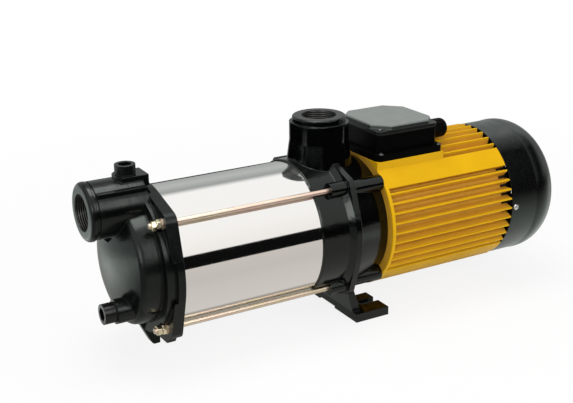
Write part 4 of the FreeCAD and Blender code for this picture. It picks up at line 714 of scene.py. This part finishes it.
cover_screw_grids = []
for turn, lean in COVER_SCREW_TURNS:
    grid = screw_points(*COVER_SCREW_SIZES, turn)
    out_y, out_z = -(COVER_SCREW_SEAT + grid[..., 2]), grid[..., 1]
    cover_screw_grids.append(np.stack([
        COVER_SCREW_X + grid[..., 0], out_y * math.cos(lean) - out_z * math.sin(lean),
        AXIS_Z + out_y * math.sin(lean) + out_z * math.cos(lean)], axis=-1))
cover_screws = mesh_piece("fan_cover_pan_screws", cover_screw_grids, "pump_body")
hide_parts("fan_cover_screws")
lid_screws = mesh_piece("lid_pan_screws", [
    screw_points(*LID_SCREW_SIZES, 0.4 + index) + (x, y, LID_SCREW_SEAT)
    for index, (x, y) in enumerate(LID_SCREW_SPOTS)], "pump_body")
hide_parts("terminal_lid_screws")
box_screws = mesh_piece("box_pan_screws", [
    screw_points(*BOX_SCREW_SIZES, 0.2 + index) + (x, y, BOX_SCREW_SEAT)
    for index, (x, y) in enumerate(BOX_SCREW_SPOTS)], "pump_body")
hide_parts("terminal_box_screws")
bright_zinc = finish("bright_zinc", (0.62, 0.63, 0.62), metallic=1.0, roughness=0.28)
uneven_gloss(bright_zinc, 700.0, 0.20, 0.38)
bumps(bright_zinc, [(2500.0, 2.0, 0.00005, 0.1)], edge=0.0002)
cover_screws.data.materials.append(bright_zinc)
dress(["motor_bolts"], bright_zinc)
dark_zinc = finish("dark_zinc", (0.10, 0.10, 0.105), metallic=1.0, roughness=0.3)
uneven_gloss(dark_zinc, 700.0, 0.22, 0.40)
bumps(dark_zinc, [(2500.0, 2.0, 0.00005, 0.1)], edge=0.0002)
for piece in (lid_screws, box_screws):
    piece.data.materials.append(dark_zinc)

# Motor housing
# Pressure die-cast aluminium with cooling fins, sprayed yellow. Down between the fins the yellow is
# painted darker and browner, a painted shade, while the fins' edges keep the full yellow. Its skin has a
# light orange peel.

FIN_TIP_R = 0.0823
FIN_ROOT_R = 0.070
yellow = finish("yellow_paint", (0.73, 0.41, 0.003), roughness=0.38, specular=0.14)
tree = yellow.node_tree
place = node(tree, "ShaderNodeTexCoord")
about_shaft = node(tree, "ShaderNodeMapping", vector_type="POINT")
about_shaft.inputs["Location"].default_value = (0, 0, -AXIS_Z)
about_shaft.inputs["Scale"].default_value = (0, 1, 1)
link(tree, place.outputs["Object"], about_shaft.inputs["Vector"])
reach = node(tree, "ShaderNodeVectorMath", operation="LENGTH")
link(tree, about_shaft.outputs[0], reach.inputs[0])
out_of_valley = node(tree, "ShaderNodeMapRange", From_Min=FIN_ROOT_R, From_Max=FIN_TIP_R)
link(tree, reach.outputs["Value"], out_of_valley.inputs["Value"])
full = ramp(tree, noise(tree, 26.0, 5.0), [(0.3, (0.70, 0.385, 0.002)), (0.7, (0.76, 0.43, 0.003))])
# Painted shade: a darker, browner yellow down between the fins.
painted_valley_shade = ramp(tree, noise(tree, 60.0, 5.0), [(0.3, (0.57, 0.295, 0.035)), (0.7, (0.65, 0.34, 0.042))])
# The painted shade fades out towards the fins' edges.
free_of_painted_shade = ramp(tree, out_of_valley.outputs["Result"], [(0.0, (0, 0, 0)), (0.80, (0.25,) * 3), (0.93, WHITE)])
paint(yellow, blended(tree, free_of_painted_shade, painted_valley_shade, full))
uneven_gloss(yellow, 140.0, 0.28, 0.42)
bumps(yellow, [(380.0, 2.0, 0.0005, 0.08), (1500.0, 2.0, 0.0002, 0.06)], edge=0.0007)
dress(["motor_housing"], yellow)

# Rear shield
# An aluminium die casting that closes the back of the motor and carries the rear bearing. It is
# painted black before the fan goes on, and shows only through the cover's open front.

shield_black = finish("shield_black", (0.008, 0.008, 0.008), roughness=0.45, specular=0.25)
uneven_gloss(shield_black, 300.0, 0.38, 0.58)
bumps(shield_black, [(900.0, 3.0, 0.0004, 0.2)], edge=0.0008)
dress(["rear_shield"], shield_black)

# Fan and fan cover
# Injection-moulded black plastic with a spark-eroded grain, so it shines softly. The upward parts of the
# cover are painted grey, a painted sheen, broken up in patches.

PLASTIC_SHADE = (0.88, 1.0, 0.94, 1)
MOULD_GRAIN = (2400.0, 2.0, 0.0001, 0.14)
COVER_BLACK = (0.001, 0.0012, 0.0011)
PAINTED_SHEEN_GREY = (0.075, 0.085, 0.080)
plastic = finish("black_moulding", (0.0012, 0.0014, 0.0013), roughness=0.36, specular=0.05)
uneven_gloss(plastic, 220.0, 0.32, 0.40)
bumps(plastic, [MOULD_GRAIN], edge=0.0006)
dress(["cooling_fan"], plastic)
cover_plastic = finish("cover_moulding", COVER_BLACK, roughness=0.27, specular=0.28, tint=PLASTIC_SHADE)
tree = cover_plastic.node_tree
facing = node(tree, "ShaderNodeSeparateXYZ")
link(tree, node(tree, "ShaderNodeNewGeometry").outputs["Normal"], facing.inputs[0])
# Painted sheen: grey on faces that look up, gone in noise patches.
painted_top_sheen = ramp(tree, facing.outputs["Z"], [(0.74, COVER_BLACK), (0.97, PAINTED_SHEEN_GREY)])
sheen_patches = node(tree, "ShaderNodeMapRange", To_Min=0.0, To_Max=0.7)
link(tree, noise(tree, 90.0, 4.0), sheen_patches.inputs["Value"])
paint(cover_plastic, blended(tree, sheen_patches.outputs["Result"], painted_top_sheen, COVER_BLACK))
uneven_gloss(cover_plastic, 220.0, 0.24, 0.31)
bumps(cover_plastic, [MOULD_GRAIN], edge=0.0006)
dress(["fan_cover"], cover_plastic)

# Terminal box, lid and gland
# Moulded from the same black plastic as the fan. The raised top of the lid is painted grey, a painted
# sheen, while its rim and the box below it stay black.

LID_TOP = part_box("terminal_lid")[1][2]
LID_SHEEN_BELOW_TOP = (0.0022, 0.0012)
LID_RIM_BLACK = (0.004, 0.0044, 0.0042)
dress(["terminal_box", "cable_gland"], plastic)
lid_plastic = finish("lid_moulding", (0.205, 0.220, 0.210), roughness=0.36, specular=0.5, tint=PLASTIC_SHADE)
tree = lid_plastic.node_tree
place = node(tree, "ShaderNodeTexCoord")
split = node(tree, "ShaderNodeSeparateXYZ")
link(tree, place.outputs["Object"], split.inputs[0])
# Painted sheen: grey on the lid's raised top only.
raised = node(tree, "ShaderNodeMapRange", From_Min=LID_TOP - LID_SHEEN_BELOW_TOP[0],
              From_Max=LID_TOP - LID_SHEEN_BELOW_TOP[1])
link(tree, split.outputs["Z"], raised.inputs["Value"])
painted_lid_sheen = ramp(tree, noise(tree, 70.0, 4.0), [(0.3, (0.190, 0.204, 0.196)), (0.7, (0.214, 0.230, 0.221))])
paint(lid_plastic, blended(tree, raised.outputs["Result"], LID_RIM_BLACK, painted_lid_sheen))
uneven_gloss(lid_plastic, 180.0, 0.31, 0.38)
bumps(lid_plastic, [MOULD_GRAIN], edge=0.0009)
dress(["terminal_lid"], lid_plastic)

# Gland nut
# The dome nut that squeezes the gland's rubber, a black nylon moulding with an open mouth. Its profile
# runs along the outside, over a quarter of an ellipse and back through the bore, turned about the
# gland's axis. The finger flutes are the upper halves of a cosine with twelve waves a turn.

GLAND_CENTRE = (-0.018, 0.1991)
GLAND_NUT_X = (0.1106, 0.1270)
GLAND_NUT_R = 0.0112
GLAND_EDGE = 0.0006
GLAND_DOME = (0.006, 0.0045)
GLAND_MOUTH_R = 0.006
GLAND_THREAD_R = 0.0081
GLAND_SEAT_X = 0.1248
GLAND_MOUTH_CHAMFER = 0.0002
GLAND_THREAD_CHAMFER = (0.0004, 0.0003)
FLUTES = 12
FLUTE_DEPTH = 0.0007
FLUTE_RUN_IN = 0.001
FLUTE_RUN_OUT = 0.002
FLUTE_END = 0.005
NUT_ROWS = 14
bend = np.linspace(0.0, np.pi / 2, 12)[1:]
dome_long, dome_high = GLAND_DOME
dome_from = GLAND_NUT_X[1] - dome_long
cap_x = np.concatenate([
    [GLAND_NUT_X[0]],
    np.linspace(GLAND_NUT_X[0] + GLAND_EDGE, dome_from, NUT_ROWS),
    dome_from + dome_long * np.sin(bend),
    [GLAND_NUT_X[1], GLAND_NUT_X[1] - GLAND_EDGE],
    [GLAND_SEAT_X, GLAND_SEAT_X, GLAND_NUT_X[0] + GLAND_THREAD_CHAMFER[0], GLAND_NUT_X[0]]])
cap_r = np.concatenate([
    [GLAND_NUT_R - GLAND_EDGE],
    np.full(NUT_ROWS, GLAND_NUT_R),
    GLAND_NUT_R - dome_high + dome_high * np.cos(bend),
    [GLAND_MOUTH_R + GLAND_MOUTH_CHAMFER, GLAND_MOUTH_R],
    [GLAND_MOUTH_R, GLAND_THREAD_R, GLAND_THREAD_R, GLAND_THREAD_R + GLAND_THREAD_CHAMFER[1]]])
turn = np.linspace(0.0, 2 * np.pi, 144, endpoint=False)[None, :]
from_edge = np.clip((cap_x - GLAND_NUT_X[0] - GLAND_EDGE) / FLUTE_RUN_IN, 0, 1)
before_dome = np.clip((GLAND_NUT_X[1] - FLUTE_END - cap_x) / FLUTE_RUN_OUT, 0, 1)
fluted = from_edge * before_dome * (cap_r > GLAND_NUT_R - 0.002)
dip = FLUTE_DEPTH * np.clip(np.cos(turn * FLUTES), 0, 1) ** 1.5
cap_r = cap_r[:, None] - fluted[:, None] * dip
cap_grid = np.stack([np.broadcast_to(cap_x[:, None], cap_r.shape), GLAND_CENTRE[0] + cap_r * np.cos(turn),
                     GLAND_CENTRE[1] + cap_r * np.sin(turn)], axis=-1)
gland_cap = mesh_piece("gland_dome_nut", [cap_grid], "pump_body", ring_rows=True)
gland_cap.data.materials.append(plastic)
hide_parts("gland_nut")

# Shaft, stage plates and small steel pieces
# The shaft, its nut, key and spacers are turned from stainless bar, the plates are pressed from sheet,
# and the spring and the fan's clip are bent. Fine turning marks run round all of them.

turned_steel = finish("turned_steel", (0.60, 0.60, 0.59), metallic=1.0, roughness=0.3)
uneven_gloss(turned_steel, 80.0, 0.22, 0.38, detail=4.0, stretch=(30, 1, 1))
dress(["stage_plate_1", "stage_plate_2", "stage_plate_3", "stage_plate_4", "shaft", "impeller_nut",
       "impeller_key", "impeller_spacers", "seal_spring", "fan_clip"], turned_steel)

# Impellers, diffusers and neck rings
# Moulded from glass-filled plastic, whose fibres make the dark grey cloudy. The neck rings that
# seal each impeller's eye are plain white plastic, pressed into the stage plates.

wetted = finish("wetted_moulding", (0.10, 0.105, 0.11), roughness=0.45)
tree = wetted.node_tree
paint(wetted, ramp(tree, noise(tree, 200.0, 5.0), [(0.3, (0.08, 0.085, 0.09)), (0.7, (0.13, 0.135, 0.14))]))
dress(["impeller_1", "impeller_2", "impeller_3", "impeller_4", "diffuser_1", "diffuser_2", "diffuser_3",
       "diffuser_4"], wetted)
white_moulding = finish("white_moulding", (0.78, 0.76, 0.70), roughness=0.4)
uneven_gloss(white_moulding, 300.0, 0.35, 0.5)
dress(["neck_rings"], white_moulding)

# Bearings
# Two deep-groove ball bearings of hardened and ground steel, pressed on the shaft on both sides of
# the rotor, and the wave washer of spring steel that loads the rear one.

bearing_steel = finish("bearing_steel", (0.72, 0.72, 0.73), metallic=1.0, roughness=0.12)
uneven_gloss(bearing_steel, 500.0, 0.08, 0.18)
dress(["front_bearing_outer", "front_bearing_inner", "front_bearing_balls", "rear_bearing_outer",
       "rear_bearing_inner", "rear_bearing_balls", "wave_washer"], bearing_steel)

# Motor cores and windings
# Stacks of punched steel sheets, whose edges show as fine steps along the shaft, and coils of
# enamelled copper wire, dipped in varnish.

laminations = finish("laminations", (0.28, 0.29, 0.31), metallic=1.0, roughness=0.42)
copper = finish("varnished_copper", (0.56, 0.22, 0.08), metallic=0.8, roughness=0.34, coat=0.5)
for material, per_metre, detail, stretch, height, strength in (
        (laminations, 1.0, 0.0, (2000, 0.1, 0.1), 0.0003, 0.5),
        (copper, 600.0, 3.0, (0.3, 1, 1), 0.0008, 0.6)):
    tree = material.node_tree
    ribbed = node(tree, "ShaderNodeBump", Strength=strength, Distance=height)
    link(tree, noise(tree, per_metre, detail, stretch), ribbed.inputs["Height"])
    link(tree, ribbed.outputs["Normal"], tree.nodes["Principled BSDF"].inputs["Normal"])
dress(["stator_core", "rotor_core"], laminations)
dress(["windings"], copper)

# Seal faces
# A ring of lapped alumina stands still in its rubber cup, and a ring of lapped carbon turns against it
# with the shaft. Both faces are flat and slightly shiny.

lapped_white = finish("lapped_alumina", (0.82, 0.81, 0.77), roughness=0.2)
uneven_gloss(lapped_white, 800.0, 0.15, 0.25)
dress(["seal_seat"], lapped_white)
lapped_black = finish("lapped_carbon", (0.03, 0.03, 0.032), roughness=0.25)
uneven_gloss(lapped_black, 800.0, 0.2, 0.32)
dress(["seal_face_ring"], lapped_black)

# Terminal block
# A brown-black phenolic moulding with studs for the wires, on the floor of the terminal box. The lid
# hides it.

phenolic = finish("phenolic_block", (0.05, 0.035, 0.025), roughness=0.4)
uneven_gloss(phenolic, 400.0, 0.35, 0.5)
dress(["terminal_block"], phenolic)

# Picture settings
# Colours are shown as they are written.

scene.view_settings.view_transform = "Standard"
